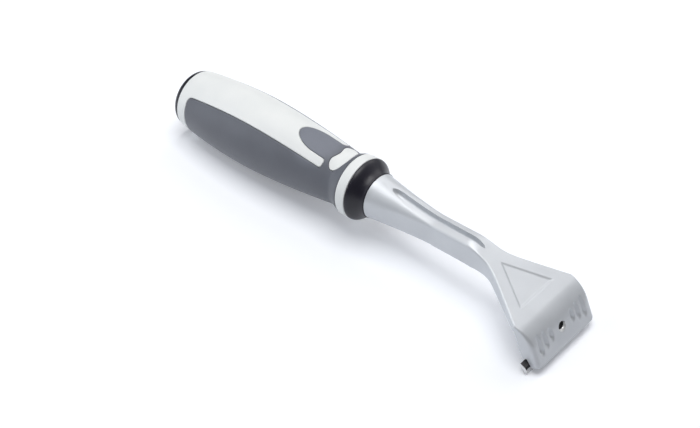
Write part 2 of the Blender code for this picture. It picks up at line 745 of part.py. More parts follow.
def make_clamp_plate(screw_axis):
    """Plate square to the screw's axis, with rounded corners and bevelled edges"""
    top, bottom = CLAMP_ABOVE_SCREW, CLAMP_OVERLAP + SCREW_ABOVE_BLADE
    outline = []
    for x, y, turn in ((top, CLAMP_HALF_WIDTH, 0), (-bottom, CLAMP_HALF_WIDTH, 90),
                       (-bottom, -CLAMP_HALF_WIDTH, 180), (top, -CLAMP_HALF_WIDTH, 270)):
        centre = (x - math.copysign(CLAMP_CORNER, x), y - math.copysign(CLAMP_CORNER, y))
        outline += arc(centre, CLAMP_CORNER, turn, turn + 90, 4)
    clamp = flat_solid("clamp_plate", outline, CLAMP_FRONT, CLAMP_BACK, screw_axis, STEEL)
    bevel = clamp.modifiers.new("edge", "BEVEL")
    bevel.width = CLAMP_EDGE
    bevel.segments = 1
    bevel.angle_limit = math.radians(60)
    cut(clamp, rod("clamp_hole", SCREW_RADIUS + 1.5 * GAP, 0, CLAMP_BACK + PAST, screw_axis))
    return clamp


def make_clamp_screw(screw_axis):
    """Socket head screw along the empty's Z, its tip towards the front wall"""
    tip, under = FACE_AHEAD - PILOT_DEPTH - GAP, CLAMP_BACK + GAP
    top = under + SCREW_HEAD_HEIGHT
    edge = SCREW_HEAD_RADIUS / 8
    profile = [(tip, 0), (tip, SCREW_RADIUS - edge), (tip - edge, SCREW_RADIUS),
               (-under, SCREW_RADIUS), (-under, SCREW_HEAD_RADIUS),
               (edge - top, SCREW_HEAD_RADIUS), (-top, SCREW_HEAD_RADIUS - edge), (-top, 0)]
    screw = turned("clamp_screw", profile, screw_axis, STEEL, 24)
    screw.rotation_euler = (math.pi, 0, 0)
    cut(screw, rod("hex_socket", SOCKET_ACROSS / math.sqrt(3), top - SOCKET_DEPTH, top + PAST,
                   screw_axis, around=6))
    return screw


# Whole tool

def seat_foot():
    """Foot of the wall's back, where the blade seat starts"""
    x, z = along(fold_corner(), WALL_SLOPE, WALL_LENGTH)
    return (x - WALL_THICKNESS * math.sin(WALL_SLOPE), z - WALL_THICKNESS * math.cos(WALL_SLOPE))


def seat_turn():
    """Turn about Y that stands +Z along the blade seat and +X square to it, forwards"""
    return WALL_SLOPE - SEAT_LEAN - math.pi / 2


def rest_tilt():
    """Angle that puts the cutting edge and the lowest point of the belly on the ground"""
    x, z = seat_foot()
    turn = seat_turn()
    forward, up = -SEAT_STEP, -BLADE_REACH
    edge_x = x + forward * math.cos(turn) + up * math.sin(turn)
    edge_z = z - forward * math.sin(turn) + up * math.cos(turn)
    return min(math.atan2(-edge_z - handle_radius(x), edge_x - x)
               for x in handle_stations(GRIP_FRONT, GRIP_BACK))


def stand_on_ground(tool):
    """Move the tool so that the middle of its footprint is the origin"""
    bpy.context.view_layer.update()
    graph = bpy.context.evaluated_depsgraph_get()
    points = []
    for piece in PARTS.objects:
        if piece.type == "MESH":
            solid = piece.evaluated_get(graph)
            points += [solid.matrix_world @ vert.co for vert in solid.data.vertices]
    low = Vector([min(point[axis] for point in points) for axis in range(3)])
    high = Vector([max(point[axis] for point in points) for axis in range(3)])
    tool.location = (-(low.x + high.x) / 2, -(low.y + high.y) / 2, -low.z)
    bpy.context.view_layer.update()


clear_scene()
PARTS = new_collection("carbide_scraper")
CUTTERS = new_collection("cutters")
WHITE = new_material("white_plastic", (0.83, 0.84, 0.83), 0.45)
GREY = new_material("grey_rubber", (0.14, 0.145, 0.17), 0.75)
BLACK = new_material("black_plastic", (0.02, 0.02, 0.025), 0.40)
SILVER = new_material("silver_paint", (0.62, 0.64, 0.67), 0.35, 0.6)
CARBIDE = new_material("carbide", (0.25, 0.25, 0.27), 0.3, 1.0)
STEEL = new_material("steel", (0.5, 0.5, 0.52), 0.35, 1.0)

TOOL = new_empty("tool_frame", None, turn=-rest_tilt())
PLATE = new_empty("plate_frame", TOOL, (head_corner()[0], 0, head_corner()[1]), HEAD_SLOPE)
FRONT = new_empty("front_frame", TOOL, (fold_corner()[0], 0, fold_corner()[1]), WALL_SLOPE)
SEAT = new_empty("seat_frame", TOOL, (seat_foot()[0], 0, seat_foot()[1]), seat_turn())
SCREW_AXIS = new_empty("screw_axis", SEAT, (0, 0, SCREW_UP), -math.pi / 2)
BLADE_LINE = new_empty("blade_line", SEAT, (-GAP, 0, BLADE_HEIGHT / 2 - BLADE_REACH))

make_handle_core(TOOL)
make_soft_grip(TOOL)
make_front_collar(TOOL)
make_end_cap(TOOL)
make_cast_body(TOOL, PLATE, FRONT, SCREW_AXIS)
make_blade(BLADE_LINE)
make_clamp_plate(SCREW_AXIS)
make_clamp_screw(SCREW_AXIS)
stand_on_ground(TOOL)
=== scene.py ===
# %% [markdown]
# # A hand-held carbide scraper
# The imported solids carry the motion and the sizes. This script dresses them: each piece that
# shows gets a finer surface with its real edges, and each one gets a finish of its own.

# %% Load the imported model
import math

import bmesh
import bpy
import numpy as np
from mathutils import Matrix, Vector


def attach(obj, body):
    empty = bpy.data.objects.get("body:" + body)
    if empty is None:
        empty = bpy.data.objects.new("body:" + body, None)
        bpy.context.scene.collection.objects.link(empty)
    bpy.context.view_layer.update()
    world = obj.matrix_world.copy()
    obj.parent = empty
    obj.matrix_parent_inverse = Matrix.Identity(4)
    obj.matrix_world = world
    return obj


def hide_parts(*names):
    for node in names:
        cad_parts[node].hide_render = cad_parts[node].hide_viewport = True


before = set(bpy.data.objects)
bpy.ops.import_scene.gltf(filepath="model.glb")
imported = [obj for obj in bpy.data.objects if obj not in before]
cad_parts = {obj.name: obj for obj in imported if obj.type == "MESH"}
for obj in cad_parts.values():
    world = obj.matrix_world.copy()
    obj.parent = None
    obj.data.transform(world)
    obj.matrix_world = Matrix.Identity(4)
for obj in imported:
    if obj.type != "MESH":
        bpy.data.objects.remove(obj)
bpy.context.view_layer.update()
print("nodes:", ", ".join(sorted(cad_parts)))

# %% [markdown]
# ## One tilted frame for the whole tool
# The scraper lies on its blade and on the belly of its handle, so its axis is tipped by a few
# degrees. All shapes below are written in the tool's own frame: X along the handle towards the
# blade, Z up, and the origin on the axis at the handle's front ring. One function tips them.

# %% The tool's frame
TILT = math.radians(3.49467)
TOOL_PLACE = np.array([-0.000296, 0.0, 0.024576])
MM = 0.001


def to_row(points):
    """Tip tool-frame points about Y by the tilt, then move them to the tool's place"""
    points = np.asarray(points, float)
    x, y, z = points[..., 0], points[..., 1], points[..., 2]
    c, s = math.cos(TILT), math.sin(TILT)
    return np.stack([c * x - s * z, y, s * x + c * z], axis=-1) + TOOL_PLACE


print("front ring at", np.round(to_row([0, 0, 0]) * 1000, 1), "mm")

# %% [markdown]
# ## Helpers for meshes
# A surface is a grid of points, so its faces follow from the grid's size alone. Columns wrap
# round, as they do on a turned piece, and the first and last rows are closed by a face each.

# %% Grid to mesh
def grid_faces(rows, columns):
    """Return the corner numbers of the quads between neighbouring grid points"""
    row = np.arange(rows - 1)[:, None]
    column = np.arange(columns)[None, :]
    a = row * columns + column
    b = row * columns + (column + 1) % columns
    return np.stack([a, b, b + columns, a + columns], axis=-1).reshape(-1, 4)


def end_faces(rows, columns):
    """Return one face for the first row and one for the last, facing away from the grid"""
    last = (rows - 1) * columns
    return [list(range(columns))[::-1], list(range(last, last + columns))]


def kept_faces(quads, keep):
    """Return the quads whose four corners are kept, and the triangles where three are"""
    kept = keep[quads]
    groups = [quads[kept.all(axis=1)]]
    for corner in range(4):
        lone = (kept.sum(axis=1) == 3) & ~kept[:, corner]
        groups.append(np.delete(quads[lone], corner, axis=1))
    return groups


def open_edges(groups, count):
    """Return the directed edges that no neighbouring face runs along the other way"""
    edges = np.concatenate([np.stack([group[:, k], np.roll(group, -1, axis=1)[:, k]], axis=1)
                            for group in groups for k in range(group.shape[1])])
    return edges[~np.isin(edges @ (count, 1), edges @ (1, count))]


def new_piece(name, points, faces, materials, node, slot, body, marks=None, sharp=35):
    """Make an object of the points and faces, merge what has no size, and give it its finish and its
    body. Its slot is not used. Each face takes the material that its mark names, or the first"""
    mesh = bpy.data.meshes.new(name)
    mesh.from_pydata(to_row(points).tolist(), [], [list(face) for face in faces])
    mesh.validate()
    for material in materials:
        mesh.materials.append(material)
    if marks is not None:
        mesh.polygons.foreach_set("material_index", np.asarray(marks, np.int32))
    cleaned = bmesh.new()
    cleaned.from_mesh(mesh)
    bmesh.ops.dissolve_degenerate(cleaned, dist=0.001 * MM, edges=cleaned.edges)
    cleaned.to_mesh(mesh)
    cleaned.free()
    mesh.shade_smooth()
    mesh.set_sharp_from_angle(angle=math.radians(sharp))
    piece = bpy.data.objects.new(name, mesh)
    bpy.context.scene.collection.objects.link(piece)
    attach(piece, body)
    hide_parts(node)
    print(name, len(mesh.polygons), "faces")
    return piece


# %% Profiles turned about the handle's axis
def turned(profile, around=160, ring=False):
    """Carry (along X, radius) pairs round the axis, so y and z are radius times sine and cosine.
    A ring's last row meets its first, and any other form has a flat face at each end"""
    profile = np.asarray(profile, float)
    angle = np.linspace(0, 2 * math.pi, around, endpoint=False)
    x = np.repeat(profile[:, :1], around, axis=1)
    y = profile[:, 1:] * np.sin(angle)
    z = profile[:, 1:] * np.cos(angle)
    points = np.stack([x, y, z], axis=-1).reshape(-1, 3)
    if ring:
        return points, (grid_faces(len(profile) + 1, around) % len(points)).tolist()
    return points, grid_faces(len(profile), around).tolist() + end_faces(len(profile), around)


def rounded(corners, radii, steps=6):
    """Round each inner corner of an open profile with an arc that touches both its sides"""
    corners = [np.asarray(corner, float) for corner in corners]
    line = [corners[0]]
    for before, corner, after, radius in zip(corners, corners[1:], corners[2:], radii):
        to_before = (before - corner) / np.linalg.norm(before - corner)
        to_after = (after - corner) / np.linalg.norm(after - corner)
        half = math.acos(np.clip(to_before @ to_after, -1, 1)) / 2
        reach = radius / math.tan(half)
        start, end = corner + to_before * reach, corner + to_after * reach
        share = np.linspace(0, 1, steps)[:, None]
        line += list((1 - share) ** 2 * start + 2 * share * (1 - share) * corner + share ** 2 * end)
    return np.array(line + [corners[-1]])


def eased(share):
    """Rise smoothly from 0 to 1: three times the square less twice the cube"""
    share = np.clip(share, 0, 1)
    return share * share * (3 - 2 * share)


# %% [markdown]
# ## Finishes
# Every finish is a Principled shader: a soft mottle varies its colour, and a fine grain varies
# its roughness and raises it as bump. All of them read Object coordinates, which are metres
# here, so a scale of 2000 gives grains of about half a millimetre. The grey is painted lighter
# round the thumb pad on top of the handle, as a painted highlight where the top light falls,
# as the photograph shows it, by a gain that was chosen by its look.

# %% A shader with grain
def grained(name, dark, light, rough, grain, bump, metallic=0.0, mottle=60.0, **sockets):
    """Mix two colours by a soft mottle, vary the roughness by grain and raise it as bump"""
    material = bpy.data.materials.new(name)
    material.use_nodes = True
    nodes, links = material.node_tree.nodes, material.node_tree.links
    shader = nodes["Principled BSDF"]
    place = nodes.new("ShaderNodeTexCoord")
    soft, fine = nodes.new("ShaderNodeTexNoise"), nodes.new("ShaderNodeTexNoise")
    soft.inputs["Scale"].default_value = mottle
    soft.inputs["Detail"].default_value = 3
    fine.inputs["Scale"].default_value = grain
    fine.inputs["Detail"].default_value = 2
    ramp = nodes.new("ShaderNodeValToRGB")
    ramp.color_ramp.elements[0].position, ramp.color_ramp.elements[1].position = 0.3, 0.7
    ramp.color_ramp.elements[0].color = (*dark, 1)
    ramp.color_ramp.elements[1].color = (*light, 1)
    spread = nodes.new("ShaderNodeMapRange")
    spread.inputs["To Min"].default_value, spread.inputs["To Max"].default_value = rough
    raise_grain = nodes.new("ShaderNodeBump")
    raise_grain.inputs["Strength"].default_value = 1.0
    raise_grain.inputs["Distance"].default_value = bump
    for texture in (soft, fine):
        links.new(place.outputs["Object"], texture.inputs["Vector"])
    links.new(soft.outputs["Fac"], ramp.inputs["Fac"])
    links.new(ramp.outputs["Color"], shader.inputs["Base Color"])
    links.new(fine.outputs["Fac"], spread.inputs["Value"])
    links.new(spread.outputs["Result"], shader.inputs["Roughness"])
    links.new(fine.outputs["Fac"], raise_grain.inputs["Height"])
    links.new(raise_grain.outputs["Normal"], shader.inputs["Normal"])
    shader.inputs["Metallic"].default_value = metallic
    for socket, value in sockets.items():
        shader.inputs[socket.replace("_", " ")].default_value = value
    return material


WHITE = grained("white_plastic", (0.80, 0.815, 0.81), (0.85, 0.86, 0.85), (0.36, 0.52),
                1400, 0.00002)
GREY = grained("grey_rubber", (0.110, 0.117, 0.139), (0.126, 0.134, 0.159), (0.42, 0.56),
               1100, 0.00004, Sheen_Weight=0.25, Sheen_Roughness=0.4)
BLACK = grained("black_plastic", (0.011, 0.010, 0.017), (0.016, 0.015, 0.024), (0.30, 0.44),
                1500, 0.00002, Specular_IOR_Level=0.42)
SILVER = grained("silver_paint", (0.60, 0.62, 0.65), (0.65, 0.67, 0.70), (0.36, 0.50),
                 900, 0.00002, metallic=0.35)
SINTERED = grained("sintered_carbide", (0.035, 0.035, 0.040), (0.055, 0.055, 0.060),
                   (0.40, 0.60), 2600, 0.00003, metallic=0.6, mottle=300)
GROUND = grained("ground_carbide", (0.68, 0.68, 0.69), (0.80, 0.80, 0.81), (0.18, 0.34),
                 3000, 0.00001, metallic=0.5, mottle=400)
# The upper bevel is ground carbide like the lower one; this dark colour is painted shade.
BEVEL_SHADE = grained("upper_bevel_painted_shade", (0.10, 0.095, 0.10), (0.16, 0.155, 0.16), (0.34, 0.50),
                 3000, 0.00002, metallic=0.7, mottle=400)
OXIDE = grained("black_oxide_steel", (0.018, 0.018, 0.021), (0.032, 0.032, 0.036), (0.30, 0.46),
                1600, 0.00002, metallic=0.6, mottle=200)
# The lip's bright finish is partly real bare metal and partly a painted highlight.
BARE_LIP_HIGHLIGHT = grained("bare_zinc_and_painted_highlight", (0.74, 0.74, 0.75), (0.84, 0.84, 0.85), (0.24, 0.38), 2400, 0.00001,
               metallic=0.4, mottle=500)
# The bore's near-black colour is painted shade inside the hole.
BORE_SHADE = grained("bore_painted_shade", (0.022, 0.022, 0.026), (0.045, 0.045, 0.05), (0.45, 0.65), 2400, 0.00003,
               metallic=0.3, mottle=500)
PLATED = grained("plated_steel", (0.50, 0.50, 0.52), (0.60, 0.60, 0.62), (0.26, 0.42),
                 1200, 0.00002, metallic=1.0, mottle=120)


def paint_highlight_near(material, centre, inner, outer, gain):
    """Paint a finish lighter near one place, as a painted highlight: by the gain inside the inner
    distance, not at all past the outer one, and smoothly between them"""
    nodes, links = material.node_tree.nodes, material.node_tree.links
    place, away = nodes["Texture Coordinate"], nodes.new("ShaderNodeVectorMath")
    away.operation = "DISTANCE"
    away.inputs[1].default_value = to_row(centre).tolist()
    share, scaled = nodes.new("ShaderNodeMapRange"), nodes.new("ShaderNodeVectorMath")
    share.interpolation_type = "SMOOTHSTEP"
    for socket, value in (("From Min", inner), ("From Max", outer), ("To Min", gain), ("To Max", 1.0)):
        share.inputs[socket].default_value = value
    scaled.operation = "SCALE"
    links.new(place.outputs["Object"], away.inputs[0])
    links.new(away.outputs["Value"], share.inputs["Value"])
    links.new(nodes["Color Ramp"].outputs["Color"], scaled.inputs[0])
    links.new(share.outputs["Result"], scaled.inputs["Scale"])
    links.new(scaled.outputs["Vector"], nodes["Principled BSDF"].inputs["Base Color"])


# The thumb pad's grey is painted lighter here: a painted highlight where the top light falls.
PAD_CENTRE, PAD_INNER, PAD_OUTER, PAD_HIGHLIGHT_GAIN = (-30 * MM, 0, 16.5 * MM), 9 * MM, 17 * MM, 1.62
paint_highlight_near(GREY, PAD_CENTRE, PAD_INNER, PAD_OUTER, PAD_HIGHLIGHT_GAIN)
print("finishes:", len(bpy.data.materials))

# %% [markdown]
# ## The handle's form
# The handle is a body of revolution: a long belly, a narrow waist behind the thumb's window and
# a quick flare to the front ring. One radius function serves the white core and the grey grip.

# %% Radius along the handle
HANDLE_BACK, GRIP_BACK, GRIP_FRONT = -119.5 * MM, -112.8 * MM, -5.8 * MM
BELLY_X, WAIST_X, RING_X = -74 * MM, -12.5 * MM, -4.5 * MM
BELLY_RADIUS, WAIST_RADIUS, RING_RADIUS, BUTT_RADIUS = 19.5 * MM, 14.3 * MM, 16.5 * MM, 16.3 * MM
GRIP_THICKNESS = 1.7 * MM
SEAM = 0.12 * MM


def handle_radius(x):
    """Belly radius less a square law behind the belly and a 1.6 power ahead, then a flare"""
    share_behind = np.clip((BELLY_X - x) / (BELLY_X - HANDLE_BACK), 0, 2)
    share_ahead = np.clip((x - BELLY_X) / (WAIST_X - BELLY_X), 0, 1)
    behind = BELLY_RADIUS - (BELLY_RADIUS - BUTT_RADIUS) * share_behind ** 2
    ahead = BELLY_RADIUS - (BELLY_RADIUS - WAIST_RADIUS) * share_ahead ** 1.6
    flare = (RING_RADIUS - WAIST_RADIUS) * eased((x - WAIST_X) / (RING_X - WAIST_X))
    return np.where(x < BELLY_X, behind, ahead) + flare


print("radius every 20 mm:", np.round(handle_radius(np.arange(-0.12, 0.001, 0.02)) * 1000, 1))

# %% [markdown]
# ## Where the grey grip stops
# Seen from above, the white band runs from the butt to the thumb pad and forks round it, and a
# bean-shaped white window lies in front of the pad. Both outlines are drawn once, from above,
# and a signed distance tells how far any point of the skin is from the grey region's edge.

# %% Outlines seen from above
BAND_REAR, BAND_FRONT, PANEL_CORNER = 12.5 * MM, 11.3 * MM, 2.5 * MM
PAD_HALF, PAD_REAR, PAD_FRONT = 7.3 * MM, 13.9 * MM, 8.7 * MM
WINDOW_LENGTH, WINDOW_HALF, NECK = 8.9 * MM, 9.6 * MM, 2.5 * MM
WINDOW_REAR = GRIP_FRONT - 1.25 * WINDOW_LENGTH
BAND_TIP = WINDOW_REAR - NECK


def arc(centre, radius, start, end, steps=16):
    angle = np.radians(np.linspace(start, end, steps))
    return np.stack([centre[0] + radius * np.cos(angle), centre[1] + radius * np.sin(angle)], axis=1)


def both_sides(half):
    return np.concatenate([half, half[::-1] * (1, -1)])


def band_outline():
    """Long band with round rear corners, forked round the half ellipse of the thumb pad"""
    rounding = (BAND_FRONT - PAD_HALF) / 3
    angle = np.linspace(math.pi / 2, math.pi, 40)
    pad = np.stack([BAND_TIP - PAD_FRONT + PAD_REAR * np.cos(angle), PAD_HALF * np.sin(angle)], axis=1)
    return both_sides(np.concatenate([
        [(HANDLE_BACK - 2 * MM, BAND_REAR + PANEL_CORNER)],
        arc((GRIP_BACK + PANEL_CORNER, BAND_REAR + PANEL_CORNER), PANEL_CORNER, 180, 270),
        arc((BAND_TIP - rounding, BAND_FRONT - rounding), rounding, 90, 0),
        arc((BAND_TIP - rounding, PAD_HALF + rounding), rounding, 0, -90), pad]))


def window_outline(steps=12):
    """Closed Catmull-Rom curve through the bean's points, given as shares of its size"""
    half = np.array([(0.11, 0), (0.05, 0.25), (-0.04, 0.50), (0, 0.75), (0.15, 0.94), (0.33, 1),
                     (0.56, 0.93), (0.79, 0.72), (0.94, 0.45), (1, 0.20), (1, 0)])
    loop = np.concatenate([half, half[-2:0:-1] * (1, -1)])
    a, b, c, d = (np.roll(loop, shift, axis=0)[:, None] for shift in (1, 0, -1, -2))
    t = (np.arange(steps) / steps)[None, :, None]
    curve = 0.5 * (2 * b + (c - a) * t + (2 * a - 5 * b + 4 * c - d) * t ** 2
                   + (3 * b - a - 3 * c + d) * t ** 3)
    return curve.reshape(-1, 2) * (WINDOW_LENGTH, WINDOW_HALF) + (WINDOW_REAR, 0)


# %% Distance to an outline
def signed_distance(x, y, outline):
    """Least distance to the outline's segments, negative where a ray crosses it an odd number of times"""
    shape = x.shape
    point = np.stack([x.ravel(), y.ravel()], axis=1)[:, None]
    start = outline[None]
    side = np.roll(outline, -1, axis=0)[None] - start
    rel = point - start
    share = np.clip((rel * side).sum(-1) / np.maximum((side ** 2).sum(-1), 1e-18), 0, 1)
    least = np.sqrt(((rel - share[..., None] * side) ** 2).sum(-1)).min(axis=1)
    above = rel[..., 1] >= 0
    above_end = (rel - side)[..., 1] >= 0
    cross = side[..., 0] * rel[..., 1] - side[..., 1] * rel[..., 0]
    inside = ((above != above_end) & ((cross > 0) == ((side[..., 1] > 0)))).sum(axis=1) % 2 == 1
    return np.where(inside, -least, least).reshape(shape)


def unrolled(outline):
    """Lay a plan outline on the skin: across becomes the length of arc from the top line"""
    radius = handle_radius(outline[:, 0])
    return np.stack([outline[:, 0], radius * np.arcsin(np.clip(outline[:, 1] / radius, -1, 1))], axis=1)


BAND, WINDOW = unrolled(band_outline()), unrolled(window_outline())


def grip_distance(x, across):
    """Distance to the grey region's edge: negative on grey, positive on white"""
    white = np.minimum(signed_distance(x, across, BAND), signed_distance(x, across, WINDOW))
    return np.maximum(np.maximum(GRIP_BACK - x, x - GRIP_FRONT), -white)


print("thumb pad is grey:", bool(grip_distance(np.array([-0.03]), np.array([0.0]))[0] < 0))

# %% [markdown]
# ## Skins that end on a curve
# A skin is the part of the turned surface on one side of such an edge. Grid points near the edge
# slide onto it, cells beyond it are dropped, and a small fillet turns the rim down into the
# seam. An inner copy makes it a closed slab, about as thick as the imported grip.

# %% Trim, fillet and close a skin
MEAN_RADIUS, PROBE = 18 * MM, 0.05 * MM
NEAR_SHARE, ON_EDGE = 0.62, 0.02 * MM


def skin(start, end, distance, fillet, step=0.7 * MM):
    """Keep the cells of the turned grid where distance is below minus the fillet. Points within
    a share of a step from the edge first slide down the distance's slope until they lie on it"""
    x, angle = np.meshgrid(np.linspace(start, end, int((end - start) / step) + 2),
                           np.linspace(-math.pi, math.pi, int(2 * math.pi * BELLY_RADIUS / step),
                                       endpoint=False), indexing="ij")
    rows, columns = x.shape

    def edge(x, angle):
        return distance(x, angle * handle_radius(x)) + fillet

    def slope(x, angle):
        swing = PROBE / MEAN_RADIUS
        along = (edge(x + PROBE, angle) - edge(x - PROBE, angle)) / (2 * PROBE)
        around = (edge(x, angle + swing) - edge(x, angle - swing)) / (2 * swing)
        return along, around / handle_radius(x)

    near = np.abs(edge(x, angle)) < NEAR_SHARE * step
    xn, an = x[near], angle[near]
    for _ in range(4):
        value = edge(xn, an)
        along, around = slope(xn, an)
        size = np.maximum(along ** 2 + around ** 2, 0.25)
        xn, an = xn - value * along / size, an - value * around / size / handle_radius(xn)
    x[near], angle[near] = xn, an
    keep = (edge(x, angle) < ON_EDGE).ravel()
    return x, angle, kept_faces(grid_faces(rows, columns)[:, ::-1], keep), slope


def slab(start, end, distance, thickness, fillet):
    """Close a skin: fillet rings round its rim, then its own copy one thickness further in"""
    x, angle, groups, slope = skin(start, end, distance, fillet)
    x, angle = x.ravel(), angle.ravel()
    count = len(x)
    rim = open_edges(groups, count)
    ring = np.unique(rim)
    along, around = slope(x[ring], angle[ring])
    size = np.maximum(np.hypot(along, around), 0.5)
    turns = np.radians([30, 60, 90, 90])
    xs, angles, depths = [x], [angle], [np.zeros(count)]
    for turn, depth in zip(turns, (None, None, None, thickness)):
        out = fillet * math.sin(turn)
        xs.append(x[ring] + out * along / size)
        angles.append(angle[ring] + out * around / size / handle_radius(x[ring]))
        drop = fillet * (1 - math.cos(turn)) if depth is None else depth
        depths.append(np.full(len(ring), drop))
    xs.append(x)
    angles.append(angle)
    depths.append(np.full(count, thickness))
    x_all, angle_all, depth_all = np.concatenate(xs), np.concatenate(angles), np.concatenate(depths)
    radius = handle_radius(x_all) - depth_all
    points = np.stack([x_all, radius * np.sin(angle_all), radius * np.cos(angle_all)], axis=1)
    place = np.full(count, -1)
    place[ring] = np.arange(len(ring))
    faces = [group.tolist() for group in groups]
    size_ring = len(ring)
    for step_index in range(4):
        a, b = rim[:, 0], rim[:, 1]
        upper = lambda v: v if step_index == 0 else count + (step_index - 1) * size_ring + place[v]
        lower = lambda v: count + step_index * size_ring + place[v]
        faces.append(np.stack([upper(b), upper(a), lower(a), lower(b)], axis=1).tolist())
    inner_start = count + 4 * size_ring
    inner = np.where(place >= 0, count + 3 * size_ring + place, inner_start + np.arange(count))
    faces += [inner[group[:, ::-1]].tolist() for group in groups]
    return tidy(points, [face for group in faces for face in group])


def tidy(points, faces):
    """Leave out the points that no face uses"""
    used = np.unique(np.concatenate([np.asarray(face) for face in faces]))
    number = np.full(len(points), -1)
    number[used] = np.arange(len(used))
    return points[used], [number[np.asarray(face)].tolist() for face in faces]


def together(*shells):
    """Join several point and face lists into one"""
    points, faces, count = [], [], 0
    for shell_points, shell_faces in shells:
        points.append(np.asarray(shell_points))
        faces += [[int(v) + count for v in face] for face in shell_faces]
        count += len(shell_points)
    return np.concatenate(points), faces


# %% [markdown]
# ## Grey grip and white handle
# Both are made from the same edge: the grip where the distance is negative, the white skins
# where it is positive. A seam of a tenth of a millimetre a side stays between them.

# %% Soft grip
GRIP_FILLET, WHITE_FILLET = 0.3 * MM, 0.35 * MM
grip = slab(GRIP_BACK, GRIP_FRONT, lambda x, s: grip_distance(x, s) + SEAM, GRIP_THICKNESS, GRIP_FILLET)
new_piece("soft_grip_skin", *grip, [GREY], "soft_grip", "grey_rubber", "root")

# %% White handle
def white_distance(x, s):
    return np.maximum(-grip_distance(x, s) + SEAM, np.maximum(HANDLE_BACK - x, x))


WHITE_THICKNESS, CORE_INSET, CORE_GAP = GRIP_THICKNESS + 0.4 * MM, 0.3 * MM, 0.2 * MM
core_x = np.linspace(HANDLE_BACK + CORE_INSET, -CORE_INSET, 90)
core = turned([(x, handle_radius(x) - GRIP_THICKNESS - CORE_GAP) for x in core_x[::-1]], around=96)
white = together(slab(HANDLE_BACK, 0, white_distance, WHITE_THICKNESS, WHITE_FILLET), core)
new_piece("handle_core_skin", *white, [WHITE], "handle_core", "white_plastic", "root")

# %% [markdown]
# ## Front collar and end cap
# Both are turned plastic mouldings. The collar is a concave flare, drawn as one Bezier curve
# from its front lip to the ring, and the cap is a shallow dome with a flat face.

# %% Front collar
COLLAR_FRONT, COLLAR_BACK = 8.9 * MM, 0.3 * MM
COLLAR_LIP, SHANK_BORE, LIP_INSIDE = 12.1 * MM, 10.8 * MM, COLLAR_FRONT - 0.1 * MM
SLEEVE_RADIUS, SLEEVE_BACK = 12.7 * MM, -5 * MM


def collar_flare(steps=40):
    """Cubic Bezier from the lip to the ring, level at the lip and steep near the ring"""
    t = np.linspace(0, 1, steps)[:, None]
    start, end = np.array([COLLAR_FRONT, COLLAR_LIP]), np.array([COLLAR_BACK, RING_RADIUS])
    length = COLLAR_FRONT - COLLAR_BACK
    pull = start - (length / 2, 0)
    push = end + (length / 3, 0)
    return (1 - t) ** 3 * start + 3 * (1 - t) ** 2 * t * pull + 3 * (1 - t) * t ** 2 * push + t ** 3 * end


flare = collar_flare()
lip = rounded([(LIP_INSIDE, SHANK_BORE), (COLLAR_FRONT, SHANK_BORE), (COLLAR_FRONT, COLLAR_LIP),
               flare[3]], [0.05 * MM, 0.25 * MM])[1:]
ring_edge = rounded([flare[-4], (COLLAR_BACK, RING_RADIUS), (COLLAR_BACK, SLEEVE_RADIUS)], [0.2 * MM])
sleeve = [(SLEEVE_BACK, SLEEVE_RADIUS), (SLEEVE_BACK, SHANK_BORE), (LIP_INSIDE, SHANK_BORE)]
collar = turned(np.concatenate([lip, flare[4:-4], ring_edge[1:], sleeve]), around=200, ring=True)
new_piece("front_collar_skin", *collar, [BLACK], "front_collar", "black_plastic", "root")

# %% End cap
CAP_BACK, CAP_RIM = HANDLE_BACK - 0.3 * MM, 15.6 * MM
PLUG_FRONT, PLUG_RADIUS = HANDLE_BACK + 5.7 * MM, 10 * MM
DOME_DEPTH, DOME_ROUND, DOME_FLAT = 3.7 * MM, 3.4 * MM, 12.5 * MM
dome = np.radians(np.linspace(0, 90, 24))
cap_profile = [(PLUG_FRONT, PLUG_RADIUS), (CAP_BACK, PLUG_RADIUS), (CAP_BACK, CAP_RIM)]
cap_profile += [(CAP_BACK - 0.1 * MM - DOME_DEPTH * math.sin(a), DOME_FLAT + DOME_ROUND * math.cos(a))
                for a in dome]
cap_points, cap_faces = turned(cap_profile, around=160)
new_piece("end_cap_skin", cap_points, cap_faces, [BLACK], "end_cap", "black_plastic", "root")

# %% [markdown]
# ## The casting: shank, plate and front wall as one surface
# The die casting is a bar whose section changes as it goes: round at the collar, then a flat-sided
# shank, a thin plate that widens, a fold and the front wall. So it is worked out as sections along
# a bent line. Each section has a top, rounded edges, sides that reach down into the cheeks, and an
# underside with pockets. The groove, the triangle and the flutes are reliefs worked into its top.

# %% Sizes of the casting
SHOULDER_X, SHOULDER_RADIUS, TAPER_LENGTH, TAPER_POWER = 9.2 * MM, 11.7 * MM, 37 * MM, 1.4
SHANK_LENGTH, SHANK_HALF, SHANK_TOP, SHANK_BOTTOM, CROWN = 71.6 * MM, 5.5 * MM, 4.6 * MM, 7.3 * MM, 1.2 * MM
HEAD_SLOPE, WALL_SLOPE = math.radians(20.1), math.radians(68.4)
HEAD_LENGTH, HEAD_HALF, WALL_LENGTH = 48.3 * MM, 22.3 * MM, 17.1 * MM
NECK_THICK, PLATE_THICK, WALL_THICK = 5.7 * MM, 3.6 * MM, 4.4 * MM
NECKING_LEAD, NECKING_LENGTH, HOLLOW_START = 0.9 * MM, 19.6 * MM, 19.3 * MM
BEND_RADIUS, FOLD_RADIUS = 28 * MM, 16 * MM
FLARE_START, FLARE_BLEND, SETBACK = 10.7 * MM, 3 * MM, 9.0 * MM
EDGE, WALL_ROUND, CORNER = 0.9 * MM, 2.6 * MM, 1.0 * MM
SEAT_LEAN, SEAT_STEP, SEAT_ROOF, LEDGE_TOP = math.radians(14), 1.8 * MM, 5.1 * MM, 12.8 * MM
